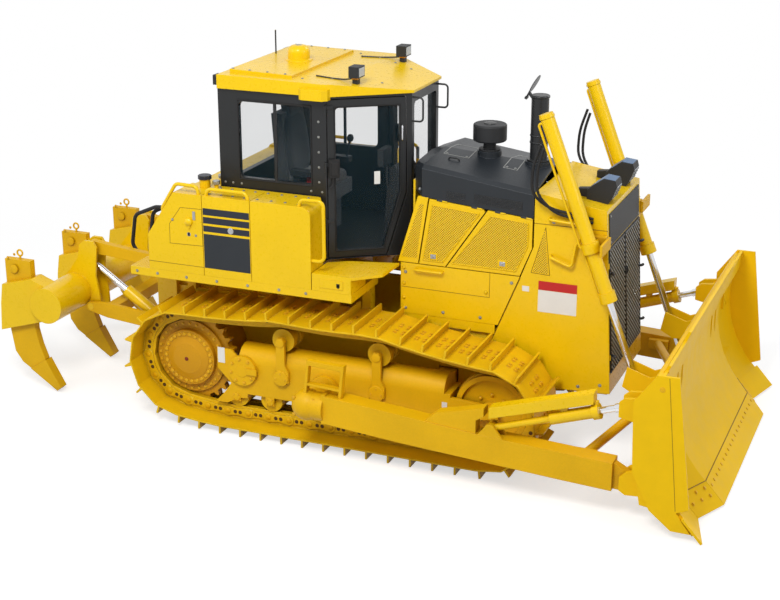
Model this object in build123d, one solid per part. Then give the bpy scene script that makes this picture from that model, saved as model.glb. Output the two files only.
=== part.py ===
from build123d import *
from math import asin, atan2, ceil, cos, degrees, hypot, pi, radians, sin, tan
import os

# Crawler bulldozer with a sigma-shaped blade and a three-shank parallelogram ripper.
# Millimetres. X runs forward to the blade, Y to the left, Z up from the ground.
# Everything is drawn with X = 0 at the sprocket axles. The last step moves the whole
# machine along X so that the origin is at the middle of its length, on the ground.

# ---------------------------------------------------------------- driving sizes
CLEAR = 0.3                     # running clearance between curved faces that fit
SWING = 8.0                     # gap round doors and moving ears

# undercarriage
TRACK_GAUGE = 2000.0            # between the middles of the two tracks
TRACK_BASE = 3045.0             # sprocket axle to idler axle
SHOE_WIDTH = 660.0
LINK_PITCH = 216.0
SHOE_SEAT = 63.0                # pin line to the inside of a shoe
SHOE_PLATE = 14.0
GROUSER_HEIGHT = 72.0
GROUSER_THICK = 18.0
GROUSER_SET = 12.0              # link pin to the near face of its grouser
CHAIN_PHASE = 76.0              # first pin, measured along the chain from its flat start
RAIL_HALF = 66.0                # pin line to the running face of a link
RAIL_NEAR = 46.0                # middle of the track to the inner side of a link rail
RAIL_FAR = 100.0
RAIL_ROOT = 70.0                # how far a rail reaches out into its shoe
SPROCKET_TEETH = 26
SPROCKET_WIDTH = 76.0
SPROCKET_RAISE = 38.0           # sprocket pin circle above the flat run
BUSHING_R = 30.0
IDLER_PIN_R = 417.0
TAIL_ANGLE = 6.2                # slope of the chain from the sprocket down to the flat run
HEAD_ANGLE = 8.5                # slope of the chain from front carrier roller to idler
CARRIER_X = (1010.0, 1975.0)
CARRIER_PIN_Z = 1148.0
CARRIER_R = 112.0
CARRIER_DROP = 16.0             # chords of the chain dip this far over a carrier roller
ROLLER_COUNT = 7
ROLLER_R = 112.0
ROLLER_FIRST_X = 520.0
ROLLER_TO_IDLER = 405.0         # last roller axle to idler axle
FRAME_HALF = 150.0              # half width of a track frame
FRAME_Z = (440.0, 690.0)        # bottom and top of its box
FRAME_REAR_X = 500.0
FRAME_TO_IDLER = 365.0          # front end of its box to the idler axle
FRAME_PIVOT = (605.0, 614.0)     # shaft that a track frame swings on
RECOIL_R = 150.0                # recoil spring tube on top of the box
GUARD_PLATE = 20.0

PIN_Z = SHOE_SEAT + SHOE_PLATE + GROUSER_HEIGHT
SPROCKET_PIN_R = LINK_PITCH / 2 / sin(2 * pi / SPROCKET_TEETH)
SPROCKET_Z = PIN_Z + SPROCKET_PIN_R + SPROCKET_RAISE
IDLER_Z = PIN_Z + IDLER_PIN_R
IDLER_R = IDLER_PIN_R * cos(LINK_PITCH / 2 / IDLER_PIN_R) - RAIL_HALF - CLEAR
TRACK_Y = TRACK_GAUGE / 2
FRAME_X = (FRAME_REAR_X, TRACK_BASE - FRAME_TO_IDLER)
ROLLER_LAST_X = TRACK_BASE - ROLLER_TO_IDLER
ROLLER_Z = PIN_Z + RAIL_HALF + ROLLER_R + CLEAR
CARRIER_Z = CARRIER_PIN_Z - RAIL_HALF - CARRIER_DROP - CARRIER_R

# hull, nose and hood
HULL_HALF = 600.0               # outside of the engine covers and the nose
SHEET = 25.0                    # thickness of covers and nose plates
RAIL_HALF_Y = (520.0, 560.0)    # main frame side rails, inside and outside
RAIL_TOP = 1150.0
BELLY_Z = 470.0
BELLY_PLATE = 25.0
CASE_X = (-395.0, 900.0)        # steering case and transmission
CASE_Z = (500.0, 1350.0)
NOSE_FRONT = ((3993.0, 689.0), (3889.0, 2378.0))    # front face, bottom and top
NOSE_REAR_TOP = (3244.0, 2480.0)
NOSE_PANEL_Z = (2045.0, 2335.0)
NOSE_PANEL_HALF = 540.0
GRILLE_Z = (865.0, 2030.0)
GRILLE_LEAF = 30.0
DOOR_SILL_Z = 1695.0            # bottom edge of the engine side doors
COVER_BOTTOM_Z = 1200.0
HOOD_EDGE = ((2045.0, 2345.0), (3236.0, 2240.0))    # bottom edge of the hood side
HOOD_SKIN = 18.0
HOOD_BEVEL = 50.0
HOOD_SECTIONS = (
    # x, half width, bottom, side top, middle top
    (2045.0, 400.0, 2345.0, 2590.0, 2615.0),
    (2184.0, 600.0, 2332.7, 2622.0, 2660.0),
    (3236.0, 600.0, 2240.0, 2480.0, 2580.0),
)
PRECLEANER_X = 2618.0
STACK_X = 3085.0
STACK_R = 80.0
STACK_TOP = 3215.0
CAP_HINGE = (2985.0, 3222.0)
CAP_ARM = 12.0                  # half width of the cap's arm between its lugs
CAP_PIN_R = 4.0
KNUCKLE_R = 7.0                 # hinges of the engine and grille doors
KNUCKLE_LENGTH = 50.0
ENGINE_HINGE_X = {"rear": (2330.0, 2660.0), "front": (2880.0, 3120.0)}
GRILLE_HINGE_Z = (1000.0, 1450.0, 1850.0)
CAP_OPEN = 62.0                 # how far the rain cap stands open, in degrees

# cab
CAB_REAR_X = 250.0
CAB_PILLAR_X = 1330.0           # door hinge pillar
CAB_FRONT_X = 1985.0
CAB_HALF = 800.0
CAB_FRONT_HALF = 345.0
CAB_Z = (1690.0, 3215.0)
CAB_WALL = 55.0
CAB_FLOOR = 40.0
DOOR_LEAF = 45.0
DOOR_HINGE_Z = (1990.0, 2519.0, 3048.0)
DOOR_KNUCKLE_R = 14.0
DOOR_KNUCKLE_LENGTH = 45.0
PANE = 8.0
# corners of the door and its pane: distance from the hinge pillar, height
DOOR_EDGE = ((18.0, 1706.0), (560.0, 1706.0), (748.0, 2300.0), (740.0, 3180.0), (18.0, 3180.0))
DOOR_PANE = ((92.0, 1775.0), (530.0, 1775.0), (690.0, 2310.0), (682.0, 3105.0), (92.0, 3105.0))
ROOF_EAVE = 36.0                # how far the roof stands out over the cab walls
ROOF_SIDE = ((262.0, 3215.0), (2010.0, 3215.0), (2010.0, 3239.0), (1380.0, 3327.0), (262.0, 3343.0))
DECK_Z = (1440.0, 1521.0)       # fender skirt, bottom and top
DECK_HALF = 1190.0
PLATFORM_Z = 1683.0
CABINET_X = (-331.0, 1345.0)
CABINET_TOP = 2290.0
CABINET_SEAMS = (253.0, 745.0)
CABINET_GAP = 22.0              # room for the door hinges between the cab and a cabinet

# blade and its arms
TRUNNION = (1455.0, 558.0)      # push arm ball, x and z
BALL_R = 146.0
ARM_Y = (1450.0, 1630.0)
ARM_PIN = (4425.0, 340.0)       # push arm to blade
TILT_BASE = (3208.0, 630.0)
TILT_HEAD = (4385.0, 1025.0)
TILT_Y = 1560.0
TILT_ROD_R = 30.0
BRACE_FOOT = (4000.0, 1400.0, 455.0)
BRACE_HEAD = (4450.0, 95.0, 675.0)
BRACE_BALL_R = 48.0
BLADE_HALF = 1790.0
EDGE_LOW = (5145.0, 23.0)       # lower front corner of the middle cutting edge
EDGE_TOP = (4975.0, 213.0)
BLADE_TOP = (4716.0, 1425.0)
BLADE_DEPTH = 190.0             # how far the moldboard curves back
EDGE_HALF = 1040.0              # half width of the middle cutting edge
WING_Y = 1378.0                 # where the side edges end and the end bits start
WING_BACK = 157.0               # how far the side edges draw back there
BIT_Y = 1815.0                  # tips of the end bits
BIT_SLOPE = 0.28                # how fast the end bits come forward again
EDGE_PLATE = 22.0
PLATE = 25.0

# rails and hoses
RAIL_TUBE_R = 17.0
RAIL_BEND = 55.0
DECK_RAIL_INSET = 30.0          # inside the outer face of the cabinets
NOSE_RAIL_Y = 650.0
HOSE_R = 19.0

# lift cylinders
LIFT_Y = 757.0
LIFT_TOP = (3359.0, 3223.0)
LIFT_GLAND = (3985.0, 1616.0)
LIFT_YOKE_Z = 2088.0
LIFT_EYE_Z = 600.0
LIFT_BARREL_R = 62.0
LIFT_ROD_R = 33.0
LIFT_ROD_INSIDE = 560.0
LIFT_BRACKET = 72.0             # how far the trunnion bracket stands out from the nose

# ripper
RIPPER_ARM_PIN = (-1379.0, 819.0)       # lower arm to beam
RIPPER_LINK_PIN = (-1384.0, 1420.0)     # upper link to beam
RIPPER_REACH = (820.0, -75.0)           # from a beam pin forward to its hull pin
RIPPER_ROD_PIN = (-1464.0, 1289.0)
RIPPER_BARREL_PIN = (-575.0, 690.0)
RIPPER_PLATE_X = -430.0         # rear face of the plate that carries the ripper
RIPPER_EARS = ((414.0, 444.0), (580.0, 604.0))      # inner and outer ears, across
RIPPER_ARM_Y = (612.0, 656.0)
RIPPER_LINK_Y = (475.0, 550.0)
RIPPER_CYLINDER_Y = 512.0
BEAM = (-1575.0, 956.0)
BEAM_R = 182.0
BEAM_HALF = 1150.0
SHANK_Y = (-1003.0, 0.0, 1003.0)
SHANK_HALF = 37.0
SHANK_X = (-2090.0, -1793.0)
SHANK_PIN = (-1976.0, 1267.0)
SHANK_PIN_R = 32.0
RIPPER_ROD_R = 35.0

NODES = {}                      # node name to its shapes


# ---------------------------------------------------------------- helpers
def outline(points, radius=0.0):
    """A closed face in a plane, with its corners rounded to one radius."""
    face = make_face(Polyline(*points, close=True))
    return fillet(face.vertices(), radius) if radius else face


def slab(points, y_low, y_high, radius=0.0):
    """A solid with a side outline of (x, z) points, between two stations across."""
    return extrude(Plane.XZ.offset(-y_high) * outline(points, radius), amount=y_high - y_low)


def deck(points, z_low, z_high, radius=0.0):
    """A solid with a plan outline of (x, y) points, between two heights."""
    return extrude(Plane.XY.offset(z_low) * outline(points, radius), amount=z_high - z_low)


def beam(points, x_low, x_high, radius=0.0):
    """A solid with a front outline of (y, z) points, between two stations along."""
    return extrude(Plane.YZ.offset(x_low) * outline(points, radius), amount=x_high - x_low)


def block(x, y, z):
    """A box from three (low, high) ranges."""
    size = [high - low for low, high in (x, y, z)]
    middle = [(high + low) / 2 for low, high in (x, y, z)]
    return Pos(*middle) * Box(*size)


def shaft(start, end, radius):
    """A round bar between two points."""
    start, end = Vector(*start), Vector(*end)
    plane = Plane(origin=start, z_dir=end - start)
    return plane * Cylinder(radius, (end - start).length, align=(Align.CENTER, Align.CENTER, Align.MIN))


def cross_pin(at, radius, y_low, y_high):
    """A round bar across the machine at an (x, z) point."""
    return shaft((at[0], y_low, at[1]), (at[0], y_high, at[1]), radius)


def pipe(points, radius, bend):
    """A round bar or hose along straight runs with rounded corners."""
    path = FilletPolyline(*points, radius=bend)
    return sweep(Plane(origin=path @ 0, z_dir=path % 0) * Circle(radius), path=path)


def mirrored(shape):
    """The same shape on the other side of the machine."""
    return mirror(shape, about=Plane.XZ)


def add(name, *shapes):
    """Puts shapes into a node."""
    NODES.setdefault(name, []).extend(shapes)


def add_pair(name, shape):
    """Puts a left-hand shape and its mirror image into one node."""
    add(name, shape, mirrored(shape))


def add_sides(name, shape):
    """Makes a left and a right node from a left-hand shape."""
    add(name + "_left", shape)
    add(name + "_right", mirrored(shape))


def along(start, end, distance, side=0.0):
    """A point some way from start towards end, in the (x, z) plane, and to one side of the line."""
    length = hypot(end[0] - start[0], end[1] - start[1])
    unit = ((end[0] - start[0]) / length, (end[1] - start[1]) / length)
    return (start[0] + unit[0] * distance - unit[1] * side, start[1] + unit[1] * distance + unit[0] * side)


def between(start, end):
    """The length of a line in the (x, z) plane."""
    return hypot(end[0] - start[0], end[1] - start[1])


def knuckles(start, direction, radius, length, gap=0.5):
    """The fixed and the moving barrel of one hinge, end to end, and the room for the fixed one."""
    step = Vector(*direction).normalized() * length
    start = Vector(*start)
    part, slip = start + step * (1 + CLEAR / length), step * (gap / length)
    fixed, moving = shaft(start, start + step, radius), shaft(part, start + step * 2, radius)
    return fixed, moving, shaft(start - slip, start + step + slip, radius + gap)


def at_height(line, z):
    """The x of a straight (x, z) line at one height."""
    (x0, z0), (x1, z1) = line
    return x0 + (x1 - x0) * (z - z0) / (z1 - z0)


def height_at(line, x):
    """The z of a straight (x, z) line at one station."""
    (x0, z0), (x1, z1) = line
    return z0 + (z1 - z0) * (x - x0) / (x1 - x0)


def hull_pin(pin):
    """The hull end of a ripper link that starts at a beam pin."""
    return (pin[0] + RIPPER_REACH[0], pin[1] + RIPPER_REACH[1])


# ---------------------------------------------------------------- tracks
def chain_line():
    """The line of the link pins: flat run, idler, two sagging top runs and sprocket."""
    tail, head = radians(TAIL_ANGLE), radians(HEAD_ANGLE)
    rear_low = (-SPROCKET_PIN_R * sin(tail), SPROCKET_Z - SPROCKET_PIN_R * cos(tail))
    flat_start = (rear_low[0] + (rear_low[1] - PIN_Z) / tan(tail), PIN_Z)
    idler_low = (TRACK_BASE, PIN_Z)
    idler_nose = (TRACK_BASE + IDLER_PIN_R, IDLER_Z)
    idler_top = (TRACK_BASE + IDLER_PIN_R * sin(head), IDLER_Z + IDLER_PIN_R * cos(head))
    carriers = [(x, CARRIER_PIN_Z) for x in reversed(CARRIER_X)]
    rear_top = (0.0, SPROCKET_Z + SPROCKET_PIN_R)
    rear_nose = (-SPROCKET_PIN_R, SPROCKET_Z)
    edges = [Line(flat_start, idler_low), ThreePointArc(idler_low, idler_nose, idler_top)]
    tops = [idler_top, *carriers, rear_top]
    for start, end in zip(tops, tops[1:]):
        sag = between(start, end) * 0.02
        middle = ((start[0] + end[0]) / 2, (start[1] + end[1]) / 2 - sag)
        edges.append(ThreePointArc(start, middle, end))
    edges += [ThreePointArc(rear_top, rear_nose, rear_low), Line(rear_low, flat_start)]
    return Wire(edges)


def chain_pins():
    """Pin centres, evenly spaced round the chain in whole links."""
    line = chain_line()
    count = round(line.length / LINK_PITCH)
    step = line.length / count
    places = [(CHAIN_PHASE + i * step) % line.length for i in range(count)]
    return [line.position_at(s, position_mode=PositionMode.LENGTH) for s in places]


def turned_out(direction):
    """The outward normal of a direction round the chain."""
    return Vector(direction.Y, -direction.X)


def offset_loop(pins, distance):
    """A polygon round the chain whose sides lie at one distance outside its chords."""
    corners = []
    for before, pin, after in zip(pins[-1:] + pins[:-1], pins, pins[1:] + pins[:1]):
        normals = turned_out((pin - before).normalized()), turned_out((after - pin).normalized())
        middle = (normals[0] + normals[1]).normalized()
        corners.append(pin + middle * (distance / middle.dot(normals[0])))
    return corners


def track():
    """One endless track: shoes with their grousers, and two rails of links inside."""
    pins = chain_pins()
    shoe_top = SHOE_SEAT + SHOE_PLATE
    outer = []
    for pin, after, corner in zip(pins, pins[1:] + pins[:1], offset_loop(pins, shoe_top)):
        way = (after - pin).normalized()
        out = turned_out(way)
        outer.append(corner)
        for forward, outward in (
            (GROUSER_SET, shoe_top),
            (GROUSER_SET, shoe_top + GROUSER_HEIGHT),
            (GROUSER_SET + GROUSER_THICK, shoe_top + GROUSER_HEIGHT),
            (GROUSER_SET + GROUSER_THICK, shoe_top),
        ):
            outer.append(pin + way * forward + out * outward)
    shoes = outline(outer) - outline(offset_loop(pins, SHOE_SEAT))
    rail = outline(offset_loop(pins, RAIL_ROOT)) - outline(offset_loop(pins, -RAIL_HALF))
    y_high = TRACK_Y + SHOE_WIDTH / 2
    body = extrude(Plane.XZ.offset(-y_high) * shoes, amount=SHOE_WIDTH)
    for y in (TRACK_Y + RAIL_FAR, TRACK_Y - RAIL_NEAR):
        body += extrude(Plane.XZ.offset(-y) * rail, amount=RAIL_FAR - RAIL_NEAR)
    return body


def sprocket():
    """A toothed ring that drives every other tooth against a link bushing."""
    tooth = 360 / SPROCKET_TEETH
    # angle from the tooth's middle in parts of the tooth spacing, radius
    shape = ((-0.27, -BUSHING_R), (-0.08, 12.0), (0.08, 12.0), (0.27, -BUSHING_R))
    points = []
    for i in range(SPROCKET_TEETH):
        for part, rise in shape:
            angle = radians((i + part) * tooth)
            radius = SPROCKET_PIN_R + rise
            points.append((radius * cos(angle), SPROCKET_Z + radius * sin(angle)))
    half = SPROCKET_WIDTH / 2
    ring = slab(points, TRACK_Y - half, TRACK_Y + half)
    ring += cross_pin((0, SPROCKET_Z), 362, TRACK_Y + half, TRACK_Y + half + 26)
    return ring - cross_pin((0, SPROCKET_Z), 300, TRACK_Y - 100, TRACK_Y + 100)


def final_drive():
    """The case from the hull to the sprocket, with its domed outer cover."""
    # distance from the machine's middle, radius
    steps = ((RAIL_HALF_Y[1], 340), (TRACK_Y - 100, 340), (TRACK_Y - 100, 300 - CLEAR),
             (TRACK_Y + 64, 300 - CLEAR), (TRACK_Y + 64, 276), (TRACK_Y + 112, 276),
             (TRACK_Y + 118, 205), (TRACK_Y + 146, 150), (TRACK_Y + 156, 0))
    profile = [(0, RAIL_HALF_Y[1])] + [(radius, y) for y, radius in steps]
    turned = revolve(make_face(Polyline(*profile, close=True)), Axis.Y)
    return Pos(0, 0, SPROCKET_Z) * turned


def idler():
    """The front wheel, with a flange that runs between the rails."""
    # half width, radius, from the hub out
    flange = RAIL_NEAR - 4
    profile = [(0, -112), (88, -112), (88, -62), (290, -62), (290, -96), (IDLER_R, -96), (IDLER_R, -flange),
               (IDLER_R + 14, -flange), (IDLER_R + 14, flange), (IDLER_R, flange), (IDLER_R, 96),
               (290, 96), (290, 62), (88, 62), (88, 112), (0, 112)]
    turned = revolve(make_face(Polyline(*profile, close=True)), Axis.Y)
    return Pos(TRACK_BASE, TRACK_Y, IDLER_Z) * turned


def roller(x, z, radius, axle_half):
    """A double-tread roller on its axle."""
    tread, groove = RAIL_FAR + 8, RAIL_NEAR - 6
    profile = [(0, -axle_half), (34, -axle_half), (34, -tread), (radius, -tread), (radius, -groove),
               (radius - 22, -groove), (radius - 22, groove), (radius, groove), (radius, tread),
               (34, tread), (34, axle_half), (0, axle_half)]
    turned = revolve(make_face(Polyline(*profile, close=True)), Axis.Y)
    return Pos(x, TRACK_Y, z) * turned


def roller_stations():
    """Places of the track rollers along the frame."""
    step = (ROLLER_LAST_X - ROLLER_FIRST_X) / (ROLLER_COUNT - 1)
    return [ROLLER_FIRST_X + i * step for i in range(ROLLER_COUNT)]


def track_frame():
    """Box beam with the recoil tube, roller brackets, idler yoke, guards and arm trunnion."""
    inner, outer = TRACK_Y - FRAME_HALF, TRACK_Y + FRAME_HALF
    body = block(FRAME_X, (inner, outer), FRAME_Z)
    body += shaft((FRAME_X[0] + 60, TRACK_Y, FRAME_Z[1]), (FRAME_X[1] - 60, TRACK_Y, FRAME_Z[1]), RECOIL_R)
    # rear guard beside the sprocket, and its foot plate
    guard = [(330, 800), (480, 800), (600, 690), (600, 440), (640, 440), (640, 330), (560, 320), (420, 250),
             (300, 250), (400, 360), (470, 460), (330, 600)]
    body += slab(guard, outer - GUARD_PLATE, outer)
    # roller guards with a bracket at each axle
    for low in (outer - GUARD_PLATE, inner):
        body += block((ROLLER_FIRST_X + 90, ROLLER_LAST_X + 60), (low, low + GUARD_PLATE), (370, FRAME_Z[0]))
        for x in roller_stations():
            body += block((x - 45, x + 45), (low, low + GUARD_PLATE), (ROLLER_Z - 42, FRAME_Z[0]))
    # idler yoke
    start, bend, tip = FRAME_X[1] - 20, TRACK_BASE - 85, TRACK_BASE + 85
    yoke = [(start, 660), (bend, 640), (tip, 610), (tip, 520), (bend, 490), (start, 470)]
    for low in (inner, outer - 38):
        body += slab(yoke, low, low + 38)
    # carrier roller brackets
    for x in CARRIER_X:
        shoulder, crown = CARRIER_Z + 10, CARRIER_Z + 46
        bracket = [(x - 80, 560), (x + 80, 560), (x + 80, 660), (x + 44, 730), (x + 44, shoulder),
                   (x + 24, crown), (x - 24, crown), (x - 44, shoulder), (x - 44, 660)]
        body += slab(bracket, outer, outer + 32)
    # frame pivot cover
    body += cross_pin(FRAME_PIVOT, 148, outer, outer + 36)
    # trunnion for the push arm
    body += cross_pin(TRUNNION, 135, outer, outer + 60)
    body += cross_pin(TRUNNION, 75, outer, ARM_Y[0] - 12)
    body += cross_pin(TRUNNION, 60, outer, (ARM_Y[0] + ARM_Y[1]) / 2)
    return body


def build_undercarriage():
    add_sides("track", track())
    add_pair("sprockets", sprocket())
    add_pair("final_drives", final_drive())
    add_pair("idlers", idler())
    add_pair("track_frames", track_frame())
    for x in roller_stations():
        add_pair("track_rollers", roller(x, ROLLER_Z, ROLLER_R, FRAME_HALF - GUARD_PLATE))
    for x in CARRIER_X:
        wheel = roller(x, CARRIER_Z, CARRIER_R, FRAME_HALF)
        add_pair("carrier_rollers", wheel - block((x - 50, x + 50), (0, TRACK_Y - RAIL_FAR - 8), (800, 1100)))
    reach = TRACK_Y - FRAME_HALF
    add("equalizer_bar", block((2370, 2530), (-reach, reach), (560, 690)))


# ---------------------------------------------------------------- hull
def build_hull():
    low, high = RAIL_HALF_Y
    case_front = CASE_X[1] + 5
    side = [(CASE_X[0], 620), (-250, BELLY_Z), (2900, BELLY_Z), (3300, 640), (3960, 665), (3960, 760),
            (3700, 800), (3600, 1000), (2900, RAIL_TOP), (CASE_X[0], RAIL_TOP)]
    tub = slab(side, -high, high)
    floor = BELLY_Z + BELLY_PLATE
    open_top, case_rear = 1400, CASE_X[0] - 200
    engine_bay = [(case_front, floor), (2900, floor), (3295, 665), (3900, 690), (3900, open_top),
                  (case_front, open_top)]
    case_bay = [(case_rear, floor), (case_front + 1, floor), (case_front + 1, open_top),
                (case_rear, open_top)]
    tub -= slab(engine_bay, -low, low) + slab(case_bay, -low, low)
    # cross members under the engine and the radiator
    for x, width, bottom in ((2180, 120, 620), (2980, 120, 620), (3600, 180, 670)):
        tub += block((x, x + width), (-low, low), (bottom, 700))
    # slot for the equalizer bar
    tub -= block((2355, 2545), (-high - 1, high + 1), (545, 705))
    # bulkhead behind the engine, and posts and sills behind the side covers
    tub += block((2025, 2045), (-400, 400), (1100, HOOD_EDGE[0][1] + 80))
    tub += block((2025, 2045), (-low, low), (1100, 1700))
    for side_sign in (-1, 1):
        across = sorted((side_sign * (low + 10), side_sign * (HULL_HALF - SHEET)))
        for x in (2000, 3040):
            tub += block((x, x + 60), across, (RAIL_TOP - 60, DOOR_SILL_Z - SWING))
        tub += block((2000, 3100), across, (DOOR_SILL_Z - 60, DOOR_SILL_Z - SWING))
        tub += block((3350, 3900), sorted((side_sign * high, side_sign * (HULL_HALF - SHEET))), (680, 740))
        tub += cross_pin(FRAME_PIVOT, 90, *sorted((side_sign * high, side_sign * (TRACK_Y - FRAME_HALF))))
    add("main_frame", tub)

    case = block(CASE_X, (-low, low), CASE_Z)
    case += block((RIPPER_PLATE_X, CASE_X[0]), (-RIPPER_EARS[1][1], RIPPER_EARS[1][1]), (600, 1430))
    for x, top in ((0, DECK_Z[1]), (700, CAB_Z[0])):
        for y in (-300, 300):
            case += block((x, x + 120), (y - 60, y + 60), (CASE_Z[1], top))
    # ears for the ripper pins
    for near, far in RIPPER_EARS:
        ear = slab([(RIPPER_PLATE_X, 600), (-520, 610), (-650, 650), (-650, 790), (-610, 900), (-610, 1260),
                    (-640, 1330), (-600, 1430), (RIPPER_PLATE_X, 1430)], near, far)
        case += ear + mirrored(ear)
    pins = ((hull_pin(RIPPER_ARM_PIN), RIPPER_EARS[1][0], RIPPER_ARM_Y[1]),
            (hull_pin(RIPPER_LINK_PIN), RIPPER_EARS[0][0], RIPPER_EARS[1][1]),
            (RIPPER_BARREL_PIN, RIPPER_EARS[0][0], RIPPER_EARS[1][1]))
    for at, near, far in pins:
        pin = cross_pin(at, 35, near, far)
        case += pin + mirrored(pin)
    add("steering_case", case)

    motor = block((2150, 3150), (-330, 330), (700, 1900))
    motor += block((2350, 3250), (-150, 330), (1900, 2200))
    add("engine", motor)
    add("radiator", block((3620, 3760), (-470, 470), (700, 2150)))


def nose_profile(inset=0.0):
    """Side outline of the nose, or of the space inside its plates."""
    front_low, front_top = NOSE_FRONT
    top = (front_top, NOSE_REAR_TOP)
    if not inset:
        return [(2735, 700), (2935, 1198), (3130, 1680), (NOSE_REAR_TOP[0], 1981), NOSE_REAR_TOP, front_top,
                front_low, (3330, 660)]
    front_x = at_height(NOSE_FRONT, front_top[1] - inset) - inset
    return [(2600, 600), (2600, height_at(top, 2600) - inset), (front_x, height_at(top, front_x) - inset),
            (at_height(NOSE_FRONT, 600) - inset, 600)]


def build_nose():
    shell = slab(nose_profile(), -HULL_HALF, HULL_HALF)
    shell -= slab(nose_profile(SHEET), -HULL_HALF + SHEET, HULL_HALF - SHEET)
    opening = HULL_HALF - SHEET
    shell -= block((3800, 4100), (-opening, opening), GRILLE_Z)
    (x0, z0), (x1, z1) = NOSE_FRONT
    edge = opening - SWING
    hinges = [knuckles((at_height(NOSE_FRONT, z), edge, z), (x1 - x0, 0, z1 - z0), KNUCKLE_R, KNUCKLE_LENGTH)
              for z in GRILLE_HINGE_Z]
    for z, (fixed, moving, room) in zip(GRILLE_HINGE_Z, hinges):
        x = at_height(NOSE_FRONT, z + KNUCKLE_LENGTH / 2)
        tab = fixed + block((x - KNUCKLE_R, x), (edge, opening + 2), (z + 4, z + KNUCKLE_LENGTH - 4))
        shell += tab + mirrored(tab)
    add("radiator_guard", shell)
    # badge panel with no lettering
    low, top = NOSE_PANEL_Z
    face = [(at_height(NOSE_FRONT, low), low), (at_height(NOSE_FRONT, top), top)]
    plate = face + [(face[1][0] + 8, top), (face[0][0] + 8, low)]
    add("nose_panel", slab(plate, -NOSE_PANEL_HALF, NOSE_PANEL_HALF))

    low, top = GRILLE_Z[0] + SWING, GRILLE_Z[1] - SWING
    face = [(at_height(NOSE_FRONT, low), low), (at_height(NOSE_FRONT, top), top)]
    points = face + [(face[1][0] - GRILLE_LEAF, top), (face[0][0] - GRILLE_LEAF, low)]
    door = slab(points, SWING / 2, edge)
    for fixed, moving, room in hinges:
        door = door - room + moving
    add_sides("grille_door", door)


def engine_hinges(name):
    """Hinges along the top edge of one left engine door."""
    (x0, z0), (x1, z1) = HOOD_EDGE
    slope = (x1 - x0, 0, z1 - z0)
    return [knuckles((x, HULL_HALF, height_at(HOOD_EDGE, x) - SWING), slope, KNUCKLE_R, KNUCKLE_LENGTH)
            for x in ENGINE_HINGE_X[name]]


def build_engine_covers():
    def top(x):
        return height_at(HOOD_EDGE, x) - SWING

    sill = DOOR_SILL_Z
    low, high = HULL_HALF - SHEET, HULL_HALF
    panel = [(1955, sill), (2150, sill), (2246, top(2246) + SWING - CLEAR), (2184, top(2184) + SWING - CLEAR),
             (2146, top(2184) + SWING - CLEAR)]
    add_pair("engine_side_panels", slab(panel, low, high))
    leaves = {
        "rear": [(2162, sill), (2415, sill), (2785, top(2800) - 22), (2770, top(2770)), (2258, top(2258))],
        "front": [(2427, sill), (3123, sill), (3228, 1960), (3228, top(3228)), (2812, top(2812))],
    }
    for name, corners in leaves.items():
        leaf = slab(corners, low, high)
        for fixed, moving, room in engine_hinges(name):
            leaf = leaf - room + moving
        add_sides("engine_door_" + name, leaf)
    cover = [(1981, COVER_BOTTOM_Z), (2928, COVER_BOTTOM_Z), (3121, 1677), (3121, sill - SWING),
             (1981, sill - SWING)]
    add_pair("side_covers", slab(cover, low, high))


def hood_section(x, half, low, side, middle, skin=0.0):
    """A cross-section of the hood: upright sides, a bevel and a crowned top."""
    half, side, middle = half - skin, side - skin, middle - skin
    low = low - 1 if skin else low
    points = [(-half, low), (-half, side - HOOD_BEVEL * 0.6), (-half + HOOD_BEVEL, side), (0, middle),
              (half - HOOD_BEVEL, side), (half, side - HOOD_BEVEL * 0.6), (half, low)]
    return Plane.YZ.offset(x) * outline(points)


def upright(x, radius, low, high, y=0.0):
    """An upright round boss or pipe."""
    return shaft((x, y, low), (x, y, high), radius)


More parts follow.
